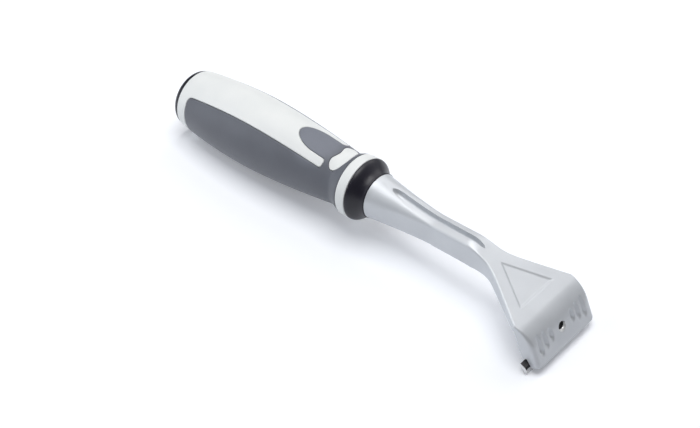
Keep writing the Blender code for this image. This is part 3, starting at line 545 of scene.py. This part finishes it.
CHEEK_THICK, CHEEK_DEPTH, CHEEK_CORNER, CHEEK_RISE = 3.0 * MM, 8.1 * MM, 1.0 * MM, 0.6 * MM
CHEEK_LOW = WALL_LENGTH + SEAT_STEP * math.sin(SEAT_LEAN) - (SEAT_ROOF + CHEEK_RISE) * math.cos(SEAT_LEAN)
FOLD = WALL_SLOPE - HEAD_SLOPE
BEND_REACH = BEND_RADIUS * math.tan(HEAD_SLOPE / 2)
FOLD_REACH = FOLD_RADIUS * math.tan(FOLD / 2)
print("fold turns", round(math.degrees(FOLD), 1), "degrees")

# %% Where each section stands
def fall(point, slope, distance):
    """Point at a distance down a straight line that falls at the slope"""
    return (point[0] + distance * math.cos(slope), point[1] - distance * math.sin(slope))


HEAD_CORNER = (SHANK_LENGTH, SHANK_TOP)
FOLD_CORNER = fall(HEAD_CORNER, HEAD_SLOPE, HEAD_LENGTH)


def around_bend(corner, slope_in, slope_out, radius, share):
    """Points and slopes on the arc that touches both lines at a corner"""
    start = fall(corner, slope_in, -radius * math.tan((slope_out - slope_in) / 2))
    slope = slope_in + share * (slope_out - slope_in)
    x = start[0] + radius * (np.sin(slope) - math.sin(slope_in))
    z = start[1] + radius * (np.cos(slope) - math.cos(slope_in))
    return x, z, slope


def sections():
    """List each section's x, z, slope, run down the head, angle left to the wall and, on the wall,
    its way down, from the collar to the edge"""
    shank = np.linspace(SHOULDER_X, SHANK_LENGTH - BEND_REACH, 110)
    bend = np.linspace(0, 1, 24)[1:]
    plate = np.linspace(BEND_REACH, HEAD_LENGTH - FOLD_REACH, 108)[1:]
    fold = np.linspace(0, 1, 34)[1:]
    wall = np.concatenate([np.linspace(FOLD_REACH, CHEEK_LOW, 18)[1:], [CHEEK_LOW + 0.02 * MM],
                           np.linspace(CHEEK_LOW, WALL_LENGTH - CORNER, 12)[1:],
                           WALL_LENGTH - CORNER * (1 - np.sin(np.linspace(0, math.pi / 2, 9)))[1:]])
    bend_x, bend_z, bend_slope = around_bend(HEAD_CORNER, 0, HEAD_SLOPE, BEND_RADIUS, bend)
    fold_x, fold_z, fold_slope = around_bend(FOLD_CORNER, HEAD_SLOPE, WALL_SLOPE, FOLD_RADIUS, fold)
    x = np.concatenate([shank, bend_x, HEAD_CORNER[0] + plate * math.cos(HEAD_SLOPE), fold_x,
                        FOLD_CORNER[0] + wall * math.cos(WALL_SLOPE)])
    before = len(shank) + len(bend) + len(plate)
    z = np.concatenate([np.full(len(shank), SHANK_TOP), bend_z,
                        HEAD_CORNER[1] - plate * math.sin(HEAD_SLOPE), fold_z,
                        FOLD_CORNER[1] - wall * math.sin(WALL_SLOPE)])
    slope = np.concatenate([np.zeros(len(shank)), bend_slope, np.full(len(plate), HEAD_SLOPE),
                            fold_slope, np.full(len(wall), WALL_SLOPE)])
    run = np.concatenate([shank - SHANK_LENGTH, BEND_REACH * (2 * bend - 1), plate,
                          np.full(len(fold) + len(wall), HEAD_LENGTH)])
    turn = np.concatenate([np.full(before, FOLD), FOLD * (1 - fold), np.zeros(len(wall))])
    down = np.concatenate([np.full(before + len(fold), np.nan), wall])
    return x, z, slope, run, turn, down


STATION_X, STATION_Z, STATION_SLOPE, RUN, TURN, DOWN = sections()
print("sections:", len(STATION_X))

# %% How wide and how thick each section is
def half_width(run):
    """Shank's half width plus a soft ramp: blend times the log of one plus an exponential"""
    rate = (HEAD_HALF - SHANK_HALF) / (HEAD_LENGTH - SETBACK - FLARE_START)
    swell = FLARE_BLEND * np.log1p(np.exp((run - FLARE_START) / FLARE_BLEND))
    return np.minimum(SHANK_HALF + rate * swell, HEAD_HALF)


def plate_thickness(run):
    """Shank's thickness eased down to the neck's, then a straight thinning to the plate's edge"""
    shank = SHANK_TOP + SHANK_BOTTOM
    necking = eased((run + NECKING_LEAD) / NECKING_LENGTH)
    thinning = np.clip((run - HOLLOW_START) / (HEAD_LENGTH - SETBACK - HOLLOW_START), 0, 1)
    return shank - (shank - NECK_THICK) * necking - (NECK_THICK - PLATE_THICK) * thinning


def middle_depth():
    """Depth of the underside between the cheeks: plate, then the thread ledge, then the seat wedge"""
    depth = plate_thickness(np.minimum(RUN, HEAD_LENGTH - SETBACK))
    on_fold = TURN < FOLD
    depth = np.where(on_fold, PLATE_THICK + (WALL_THICK - PLATE_THICK) * (1 - TURN / FOLD), depth)
    ledge_top = WALL_LENGTH + SEAT_STEP * math.sin(SEAT_LEAN) - LEDGE_TOP * math.cos(SEAT_LEAN)
    lean, step = math.tan(SEAT_LEAN), SEAT_STEP * math.sin(SEAT_LEAN)
    inside = (FOLD_RADIUS - WALL_THICK) * np.sin(TURN) < FOLD_REACH - ledge_top
    down = np.where(np.isnan(DOWN), FOLD_REACH - (FOLD_RADIUS - CHEEK_DEPTH) * np.sin(TURN), DOWN)
    ledge = WALL_THICK + SEAT_STEP * math.cos(SEAT_LEAN) + lean * (WALL_LENGTH + step - down)
    ledge = np.where(TURN > 0, FOLD_RADIUS - (FOLD_RADIUS - ledge) / np.maximum(np.cos(TURN), 0.5), ledge)
    depth = np.where(on_fold & inside & (down <= CHEEK_LOW), ledge, depth)
    wedge = WALL_THICK + lean * (WALL_LENGTH - down)
    depth = np.where(on_fold & (down > CHEEK_LOW), wedge, depth)
    return np.where(on_fold & (down > WALL_LENGTH - CORNER), WALL_THICK, depth)


def cheek_depth(middle):
    """Depth of the side at each end of the head, where the cheek hangs below the plate"""
    back = HEAD_LENGTH - RUN
    corner = (CHEEK_DEPTH * math.sin(FOLD) + CHEEK_CORNER * math.cos(FOLD),
              CHEEK_DEPTH * math.cos(FOLD) - CHEEK_CORNER * math.sin(FOLD))
    slanted = PLATE_THICK / 2 + (SETBACK - back) / (SETBACK - corner[0]) * (corner[1] - PLATE_THICK / 2)
    rear = (CHEEK_DEPTH - back * math.sin(FOLD)) / math.cos(FOLD)
    on_plate = np.where(back > corner[0], slanted, rear)
    on_fold = FOLD_RADIUS - (FOLD_RADIUS - CHEEK_DEPTH) / np.cos(TURN)
    depth = np.where(TURN < FOLD, on_fold, np.where(back < SETBACK, on_plate, 0))
    depth = np.where(DOWN > CHEEK_LOW, 0, depth)
    return np.maximum(depth, middle)


MIDDLE = middle_depth()
SIDE = cheek_depth(MIDDLE)
LEFT = np.clip(1 - (STATION_X - SHOULDER_X) / TAPER_LENGTH, 0, 1) ** TAPER_POWER
HALF = half_width(RUN)
at_end = ~np.isnan(DOWN) & (DOWN > WALL_LENGTH - CORNER)
into_corner = (DOWN - WALL_LENGTH + CORNER) / CORNER
rounding = CORNER * (1 - np.sqrt(np.clip(1 - into_corner ** 2, 0, 1)))
HALF = np.where(at_end, HEAD_HALF - rounding, HALF)
print("thinnest plate", round(MIDDLE.min() * 1000, 2), "mm")

# %% [markdown]
# ## Reliefs on the top
# The groove is a scoop with round ends, the triangle a shallow sunk field, and the flutes are
# six soft channels that fade out on the fold, as a cut into a bend does. The flutes here are
# deeper and wider than the solid's: their depth was set by the light and shade they give.

# %% Groove, triangle and flutes
GROOVE_START, GROOVE_END, GROOVE_HALF, GROOVE_DEPTH = 18.5 * MM, 74.5 * MM, 2.1 * MM, 3.0 * MM
GROOVE_CAP, GROOVE_SHOULDER, GROOVE_NARROWS, PLATE_FROM = 6 * MM, 0.45 * MM, 0.3, 5 * MM
TRIANGLE = np.array([(13.7, 0), (35.1, 12.1), (35.1, -12.1)]) * MM
TRIANGLE_DEPTH, TRIANGLE_WALL = 0.5 * MM, 1.4 * MM
FLUTE_FIRST, FLUTE_SPACING = 8.1 * MM, 4.25 * MM
FLUTE_HALF, FLUTE_DEPTH, FLUTE_STRETCH = 1.85 * MM, 1.44 * MM, 1.9
FLUTES_A_SIDE, FLUTE_RISE, RISE_STEP, FLUTE_FALL, FALL_STEP = 3, 1.9, 1.2, 0.4, 1.3
SCREW_UP = 8.6 * MM
FACE_AHEAD = (WALL_THICK + SCREW_UP * math.sin(SEAT_LEAN)) / math.cos(SEAT_LEAN)
SCREW_DOWN = WALL_LENGTH - FACE_AHEAD * math.sin(SEAT_LEAN) - SCREW_UP * math.cos(SEAT_LEAN)


def groove_depth(x, y):
    """Round-bottomed channel: its depth follows a circle across and swells from round ends"""
    near = np.clip(np.minimum(x - GROOVE_START, GROOVE_END - x) / GROOVE_CAP, 0, 1)
    swell = np.sqrt(np.clip(1 - (1 - near) ** 2, 0, 1))
    along = (x - GROOVE_START) / (GROOVE_END - GROOVE_START)
    half = GROOVE_HALF * swell * (1 - GROOVE_NARROWS * along)
    half = np.maximum(half, 0.001 * MM)
    across = np.clip(np.abs(y) / half, 0, 1)
    floor = GROOVE_DEPTH * swell - half * (1 - np.sqrt(1 - across ** 2))
    return np.maximum(floor, 0) * eased((half - np.abs(y)) / GROOVE_SHOULDER)


def triangle_depth(run, y):
    """Full depth inside the outline, with walls eased over half their width each way"""
    return TRIANGLE_DEPTH * eased(0.5 - signed_distance(run, y, TRIANGLE) / TRIANGLE_WALL)


def flute_depth(down, y):
    """Depth under the wall's flat face: half a cosine wave across each channel, drawn out at its ends"""
    depth = np.zeros_like(y)
    for index in range(FLUTES_A_SIDE):
        top = SCREW_DOWN - (FLUTE_RISE + RISE_STEP * index) * MM
        bottom = SCREW_DOWN + (FLUTE_FALL + FALL_STEP * index) * MM
        beyond = (down - np.clip(down, top, bottom)) / FLUTE_STRETCH
        away = np.hypot(np.abs(y) - (FLUTE_FIRST + FLUTE_SPACING * index), beyond)
        depth += FLUTE_DEPTH / 2 * (1 + np.cos(math.pi * np.clip(away / FLUTE_HALF, 0, 1)))
    return depth


print("groove 30 mm along is", round(float(groove_depth(30 * MM, 0.0)) * 1000, 2), "mm deep")

# %% The half section
TOP_STEPS, ROUND_STEPS, FOOT_ROUND = 62, 9, 0.5 * MM
POCKET_END, POCKET_RIM, POCKET_EASE = HEAD_LENGTH - 11.6 * MM, 3.0 * MM, 0.9 * MM
RIB_HALF, WEB = 1.5 * MM, 2.2 * MM


def half_section():
    """Top, rounded edge, side, cheek's foot, cheek's inner face and underside, for all sections"""
    count = len(RUN)
    past_bend = eased((RUN + BEND_REACH) / (2 * BEND_REACH))
    crown = np.where(TURN < FOLD, 0, CROWN * (1 - LEFT) * (1 - past_bend))
    top = SHANK_TOP + (SHOULDER_RADIUS - SHANK_TOP) * LEFT
    half = HALF + (SHOULDER_RADIUS - SHANK_HALF) * LEFT
    low = MIDDLE - SHANK_TOP + (SHOULDER_RADIUS - SHANK_BOTTOM) * LEFT
    low_side = SIDE - SHANK_TOP + (SHOULDER_RADIUS - SHANK_BOTTOM) * LEFT
    ease = EDGE + (SHOULDER_RADIUS - EDGE) * LEFT + (WALL_ROUND - EDGE) * (1 - TURN / FOLD)
    ease = np.where(LEFT > 0, np.minimum(ease, 0.97 * np.minimum(half, (top + low) / 2)), ease)
    flat, bend = half - ease, ease * math.pi / 2
    length = flat + bend
    split = np.concatenate([np.linspace(0, 1, TOP_STEPS, endpoint=False)[None] * flat[:, None],
                            flat[:, None] + np.linspace(0, 1, ROUND_STEPS)[None] * bend[:, None]], axis=1)
    even = np.linspace(0, 1, TOP_STEPS + ROUND_STEPS)[None] * length[:, None]
    reach = split * (1 - LEFT[:, None]) + even * LEFT[:, None]
    turn = np.clip((reach - flat[:, None]) / ease[:, None], 0, math.pi / 2)
    y = np.minimum(reach, flat[:, None]) + ease[:, None] * np.sin(turn)
    h = top[:, None] - ease[:, None] * (1 - np.cos(turn)) + crown[:, None] * (1 - (y / half[:, None]) ** 2)
    foot = np.minimum(ease, 0.45 * (top + low_side))
    foot = np.where(LEFT > 0, ease, np.minimum(foot, FOOT_ROUND))
    side = np.linspace(0, 1, 8)[None, 1:]
    side_h = (top - ease)[:, None] + side * (foot - low_side - top + ease)[:, None]
    curve = np.radians(np.linspace(0, 90, 9))[None, 1:]
    curve_y = (half - foot)[:, None] + foot[:, None] * np.cos(curve)
    curve_h = (foot - low_side)[:, None] - foot[:, None] * np.sin(curve)
    inner = np.where(SIDE > MIDDLE + 0.01 * MM, half - CHEEK_THICK, half - foot - 0.05 * MM)
    rise = np.linspace(0, 1, 5)[None]
    rise_h = -low_side[:, None] + rise * (low_side - low)[:, None]
    under = np.linspace(1, 0, 31)[None, 1:] * inner[:, None]
    under_h = -low[:, None] + pocket_height(RUN[:, None], under, low[:, None])
    ys = np.concatenate([y, np.repeat(half[:, None], side.shape[1], 1), curve_y,
                         np.repeat(inner[:, None], rise.shape[1], 1), under], axis=1)
    hs = np.concatenate([h, side_h, curve_h, rise_h, under_h], axis=1)
    return ys, hs, top


def pocket_height(run, y, low):
    """Two pockets under the plate rise to a thin web, with a rib between them and eased walls"""
    outer = half_width(run) - POCKET_RIM
    inset = np.minimum(np.minimum(run - HOLLOW_START, POCKET_END - run), np.minimum(y - RIB_HALF, outer - y))
    return eased(inset / POCKET_EASE) * (low + SHANK_TOP - WEB)


# %% Put the sections together
def casting():
    """Stand each section square to its line and take the sunk features off its top"""
    half_y, half_h, top = half_section()
    y = np.concatenate([half_y, -half_y[:, -2:0:-1]], axis=1)
    h = np.concatenate([half_h, half_h[:, -2:0:-1]], axis=1)
    columns = np.arange(y.shape[1])
    on_top = (columns < TOP_STEPS + ROUND_STEPS - 1) | (columns > y.shape[1] - TOP_STEPS - ROUND_STEPS + 1)
    depth = groove_depth(STATION_X[:, None] + 0 * y, y)
    on_plate = (RUN[:, None] > PLATE_FROM) & (TURN[:, None] == FOLD)
    depth = np.where(RUN[:, None] > PLATE_FROM, 0, depth)
    depth = np.where(on_plate, triangle_depth(RUN[:, None] + 0 * y, y), depth)
    down = np.where(np.isnan(DOWN), FOLD_REACH - FOLD_RADIUS * np.sin(TURN), DOWN)
    fallen = np.where(np.isnan(DOWN), FOLD_RADIUS * (1 - np.cos(TURN)), 0)
    flutes = np.maximum(flute_depth(down[:, None] + 0 * y, y) - fallen[:, None], 0)
    depth = np.where(TURN[:, None] < FOLD, flutes, depth)
    h = h - np.where(on_top[None], depth, 0)
    lift = h - SHANK_TOP
    x = STATION_X[:, None] + lift * np.sin(STATION_SLOPE)[:, None]
    z = STATION_Z[:, None] + lift * np.cos(STATION_SLOPE)[:, None]
    return np.stack([x, y, z], axis=-1)


body = casting()
print("casting grid:", body.shape[:2])

# %% [markdown]
# ## The hole where the screw ends
# The thread breaks out through the front wall in a small hole. Its lip is bare metal, painted
# bright and wide on its lower side as a painted highlight where the top light falls, and the bore
# behind it is painted dark as painted shade. Grid points near the lip slide onto it, the cells
# inside go, and rings lead down the bore.

# %% Open the hole
# The lip's circle sits lower than the bore's, so its bright ring, a painted highlight, is widest at the
# bottom.
LIP_RADIUS, LIP_LOWER, LIP_DEPTH, LIP_NEAR = 2.6 * MM, 0.5 * MM, 1.0 * MM, 0.19 * MM
BORE_RADIUS, BORE_DEPTH = 2.1 * MM, 4.5 * MM
BORE_TILT = WALL_SLOPE - math.pi / 2 + SEAT_LEAN
IN = np.array([-math.cos(BORE_TILT), 0, math.sin(BORE_TILT)])


def bore_hole(body):
    """Slide wall points onto the lip's circle, then add rings: the lip, the bore and its floor"""
    rows, columns = body.shape[:2]
    y = body[..., 1]
    down = np.where(np.isnan(DOWN), FOLD_REACH - FOLD_RADIUS * np.sin(TURN), DOWN)
    down = down[:, None] - SCREW_DOWN - LIP_LOWER + 0 * y
    top = (np.arange(columns) < TOP_STEPS) | (np.arange(columns) > columns - TOP_STEPS)
    away = np.where(top[None] & (TURN < FOLD)[:, None], np.hypot(down, y), 1.0)
    near = np.abs(away - LIP_RADIUS) < LIP_NEAR
    shift = np.where(near, LIP_RADIUS / away - 1, 0)
    slope = STATION_SLOPE[:, None]
    body = body + shift[..., None] * np.stack([down * np.cos(slope), y, -down * np.sin(slope)], axis=-1)
    keep = (near | (away > LIP_RADIUS)).ravel()
    groups = kept_faces(grid_faces(rows, columns)[:, ::-1], keep)
    rim = open_edges(groups, rows * columns)
    rim = rim[(rim[:, 0] >= columns) & (rim[:, 0] < (rows - 1) * columns)]
    ring = np.unique(rim)
    points = body.reshape(-1, 3)
    lip = points[ring]
    angle = np.arctan2(lip[:, 1], (lip - lip.mean(axis=0)) @ (math.cos(WALL_SLOPE), 0, -math.sin(WALL_SLOPE)))
    face = fall(FOLD_CORNER, WALL_SLOPE, SCREW_DOWN)
    centre = np.array([face[0], 0, face[1]])
    across = np.array([math.cos(WALL_SLOPE), 0, -math.sin(WALL_SLOPE)])
    circle = BORE_RADIUS * (np.cos(angle)[:, None] * across + np.sin(angle)[:, None] * (0, 1, 0))
    layers = [centre + circle + IN * depth for depth in (LIP_DEPTH, LIP_DEPTH + 0.05 * MM, BORE_DEPTH)]
    place = np.full(len(points), -1)
    place[ring] = np.arange(len(ring))
    faces = [face for group in groups for face in group.tolist()]
    marks = [0] * len(faces)
    # Mark 1, the lip's ring, is bare metal and painted highlight; mark 2, the bore and its floor, is painted
    # shade.
    for index in range(3):
        start = len(points) + index * len(ring)
        upper = rim if index == 0 else start - len(ring) + place[rim]
        lower = start + place[rim]
        faces += np.stack([upper[:, 1], upper[:, 0], lower[:, 0], lower[:, 1]], axis=1).tolist()
        marks += [1 if index == 0 else 2] * len(rim)
    order = np.argsort(angle)
    faces.append((len(points) + 2 * len(ring) + order).tolist())
    return np.concatenate([points] + layers), faces, marks + [2]


hole_points, hole_faces, hole_marks = bore_hole(body)
hole_faces += [face[::-1] for face in end_faces(*body.shape[:2])]
ROOT_FRONT, ROOT_BACK, ROOT_RADIUS = 9.4 * MM, -5 * MM, 10.5 * MM
root = turned([(ROOT_FRONT, ROOT_RADIUS), (ROOT_BACK, ROOT_RADIUS)], around=96)
points, faces = together((hole_points, hole_faces), root)
marks = hole_marks + [0] * (len(faces) - len(hole_marks))
points, faces = tidy(points, faces)
new_piece("cast_body_skin", points, faces, [SILVER, BARE_LIP_HIGHLIGHT, BORE_SHADE], "cast_body", "silver_paint", "root",
          marks=marks, sharp=40)

# %% [markdown]
# ## Blade and clamp
# The blade is a turnable strip of carbide, ground to an edge along both long sides, so its dark
# sintered faces and its bright bevels have finishes of their own. The upper bevel is ground too,
# but it is painted dark as painted shade. The clamp plate and its socket head screw sit behind
# it; the screw's end shows in the small hole in the front wall.

# %% Blade
def seat_place(forward, up):
    """Turn a place on the leaning seat into tool-frame x and z"""
    foot = fall(FOLD_CORNER, WALL_SLOPE, WALL_LENGTH)
    foot = (foot[0] - WALL_THICK * math.sin(WALL_SLOPE), foot[1] - WALL_THICK * math.cos(WALL_SLOPE))
    turn = WALL_SLOPE - SEAT_LEAN - math.pi / 2
    return (foot[0] + forward * math.cos(turn) + up * math.sin(turn),
            foot[1] - forward * math.sin(turn) + up * math.cos(turn))


def blade():
    """Carry the bevelled section across the head in thin steps, with ends closed flat"""
    front, back, low, high, bevel = -0.3 * MM, -1.8 * MM, -1.6 * MM, 4.8 * MM, 2.6 * MM
    blunt, half_length, steps = 0.03 * MM, 25 * MM, 60
    section = [(front, low + bevel), (back + blunt, low), (back, low + blunt), (back, high - blunt),
               (back + blunt, high), (front, high - bevel)]
    ring = np.array([seat_place(*point) for point in section])
    across = np.linspace(-half_length, half_length, steps)
    count = len(ring)
    points = np.stack([np.tile(ring[:, 0], steps), np.repeat(across, count),
                       np.tile(ring[:, 1], steps)], axis=1)
    faces = grid_faces(steps, count).tolist()
    # Side 0, the lower bevel, and the ends are ground carbide; side 4, the upper bevel, is painted dark as
    # painted shade.
    marks = [{0: 1, 4: 2}.get(side, 0) for side in range(count)] * (steps - 1)
    return points, faces + end_faces(steps, count), marks + [1, 1]


blade_points, blade_faces, blade_marks = blade()
new_piece("carbide_blade_skin", blade_points, blade_faces, [SINTERED, GROUND, BEVEL_SHADE], "carbide_blade",
          "carbide", "blade", marks=blade_marks, sharp=20)

# %% Clamp plate and screw
for name, finish in (("clamp_plate", PLATED), ("clamp_screw", OXIDE)):
    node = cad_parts[name]
    node.data.materials.clear()
    node.data.materials.append(finish)
    print(name, "keeps its solid's shape")

# %% [markdown]
# ## Camera, floor and light
# The camera's place was solved from the photograph with the tool tipped by 3.2 degrees, so it
# turns by the rest to the tilt as built. The floor is a pale plane on which the tool's shadow
# stays visible, and it shows white to the camera and in reflections. The lamps were placed and
# set by comparing renders with the photograph, so they are a fit and no measurement.

# %% Camera
def camera_axes(azimuth, elevation):
    a, e = math.radians(azimuth), math.radians(elevation)
    back = Vector((math.sin(a) * math.cos(e), -math.cos(a) * math.cos(e), math.sin(e)))
    right = Vector((math.cos(a), math.sin(a), 0))
    return right, back.cross(right), back


SOLVED_TILT, AZIMUTH, ELEVATION = math.radians(3.2), 41.91, 42.97
settle = Matrix.Rotation(SOLVED_TILT - TILT, 3, "Y")
right, up, back = (settle @ axis for axis in camera_axes(AZIMUTH, ELEVATION))
DISTANCE, PIXELS, SHIFT_RIGHT, SHIFT_UP = 0.6925, 1400, 15.3, -25.2
eye = Vector(TOOL_PLACE) + back * DISTANCE
eye += up * (SHIFT_UP / PIXELS * DISTANCE) - right * (SHIFT_RIGHT / PIXELS * DISTANCE)
lens = bpy.data.cameras.new("camera")
lens.sensor_width, lens.lens, lens.clip_start = 36, 72, 0.01
camera = bpy.data.objects.new("camera", lens)
bpy.context.scene.collection.objects.link(camera)
camera.matrix_world = Matrix((right, up, back)).transposed().to_4x4()
camera.location = eye
bpy.context.scene.camera = camera
print("camera at", [round(v, 3) for v in eye])

# %% Floor
FLOOR_COLOUR, GLOW_COLOUR, GLOW_STRENGTH = (0.87, 0.885, 0.92, 1), (0.95, 0.96, 1.0, 1), 0.20
REACH, FLOOR_Z = 6, -0.0001


def floor_material():
    """A pale diffuse floor that adds light only for the camera, for gloss and for glass"""
    material = bpy.data.materials.new("floor")
    material.use_nodes = True
    nodes, links = material.node_tree.nodes, material.node_tree.links
    nodes.remove(nodes["Principled BSDF"])
    ray = nodes.new("ShaderNodeLightPath")
    diffuse, glow = nodes.new("ShaderNodeBsdfDiffuse"), nodes.new("ShaderNodeEmission")
    both = nodes.new("ShaderNodeAddShader")
    diffuse.inputs["Color"].default_value = FLOOR_COLOUR
    glow.inputs["Color"].default_value = GLOW_COLOUR
    seen, sheen = nodes.new("ShaderNodeMath"), nodes.new("ShaderNodeMath")
    seen.operation = sheen.operation = "MAXIMUM"
    strength = nodes.new("ShaderNodeMath")
    strength.operation = "MULTIPLY"
    strength.inputs[1].default_value = GLOW_STRENGTH
    links.new(ray.outputs["Is Camera Ray"], seen.inputs[0])
    links.new(ray.outputs["Is Glossy Ray"], seen.inputs[1])
    links.new(seen.outputs[0], sheen.inputs[0])
    links.new(ray.outputs["Is Transmission Ray"], sheen.inputs[1])
    links.new(sheen.outputs[0], strength.inputs[0])
    links.new(strength.outputs[0], glow.inputs["Strength"])
    links.new(diffuse.outputs[0], both.inputs[0])
    links.new(glow.outputs[0], both.inputs[1])
    links.new(both.outputs[0], nodes["Material Output"].inputs["Surface"])
    return material


floor_mesh = bpy.data.meshes.new("floor")
floor_mesh.from_pydata([(-REACH, -REACH, 0), (REACH, -REACH, 0), (REACH, REACH, 0), (-REACH, REACH, 0)],
                       [], [(0, 1, 2, 3)])
floor_mesh.materials.append(floor_material())
floor = bpy.data.objects.new("floor", floor_mesh)
floor.location.z = FLOOR_Z
bpy.context.scene.collection.objects.link(floor)

# %% Lamps and world
def area_lamp(name, place, aim, size, power, colour):
    lamp = bpy.data.lights.new(name, "AREA")
    lamp.shape, lamp.size, lamp.energy, lamp.color = "SQUARE", size, power, colour
    holder = bpy.data.objects.new(name, lamp)
    bpy.context.scene.collection.objects.link(holder)
    holder.location = place
    holder.rotation_euler = (Vector(aim) - Vector(place)).to_track_quat("-Z", "Y").to_euler()
    return holder


LAMPS = [("overhead", (0.0, 0.0, 1.1), 8.9, 1.0), ("behind", (-0.12, 0.78, 0.70), 3.2, 1.0),
         ("butt_side", (-0.75, -0.6, 0.62), 3.5, 1.05), ("low_side", (-0.68, -0.68, 0.16), 0.8, 1.05),
         ("blade_side", (0.5, 0.85, 0.45), 1.0, 1.05)]
AIM, LARGEST_LAMP, SIZE_PER_HEIGHT = (0.02, 0, 0.02), 0.8, 1.8
for name, place, power, blue in LAMPS:
    size = min(LARGEST_LAMP, SIZE_PER_HEIGHT * place[2])
    area_lamp(name, place, AIM, size, power, (2 - blue, 1, blue))
world = bpy.data.worlds.new("world")
bpy.context.scene.world = world
world.use_nodes = True
sky = world.node_tree.nodes["Background"]
sky.inputs["Color"].default_value = (0.93, 0.95, 1.0, 1)
sky.inputs["Strength"].default_value = 0.07
bpy.context.scene.view_settings.view_transform = "Standard"
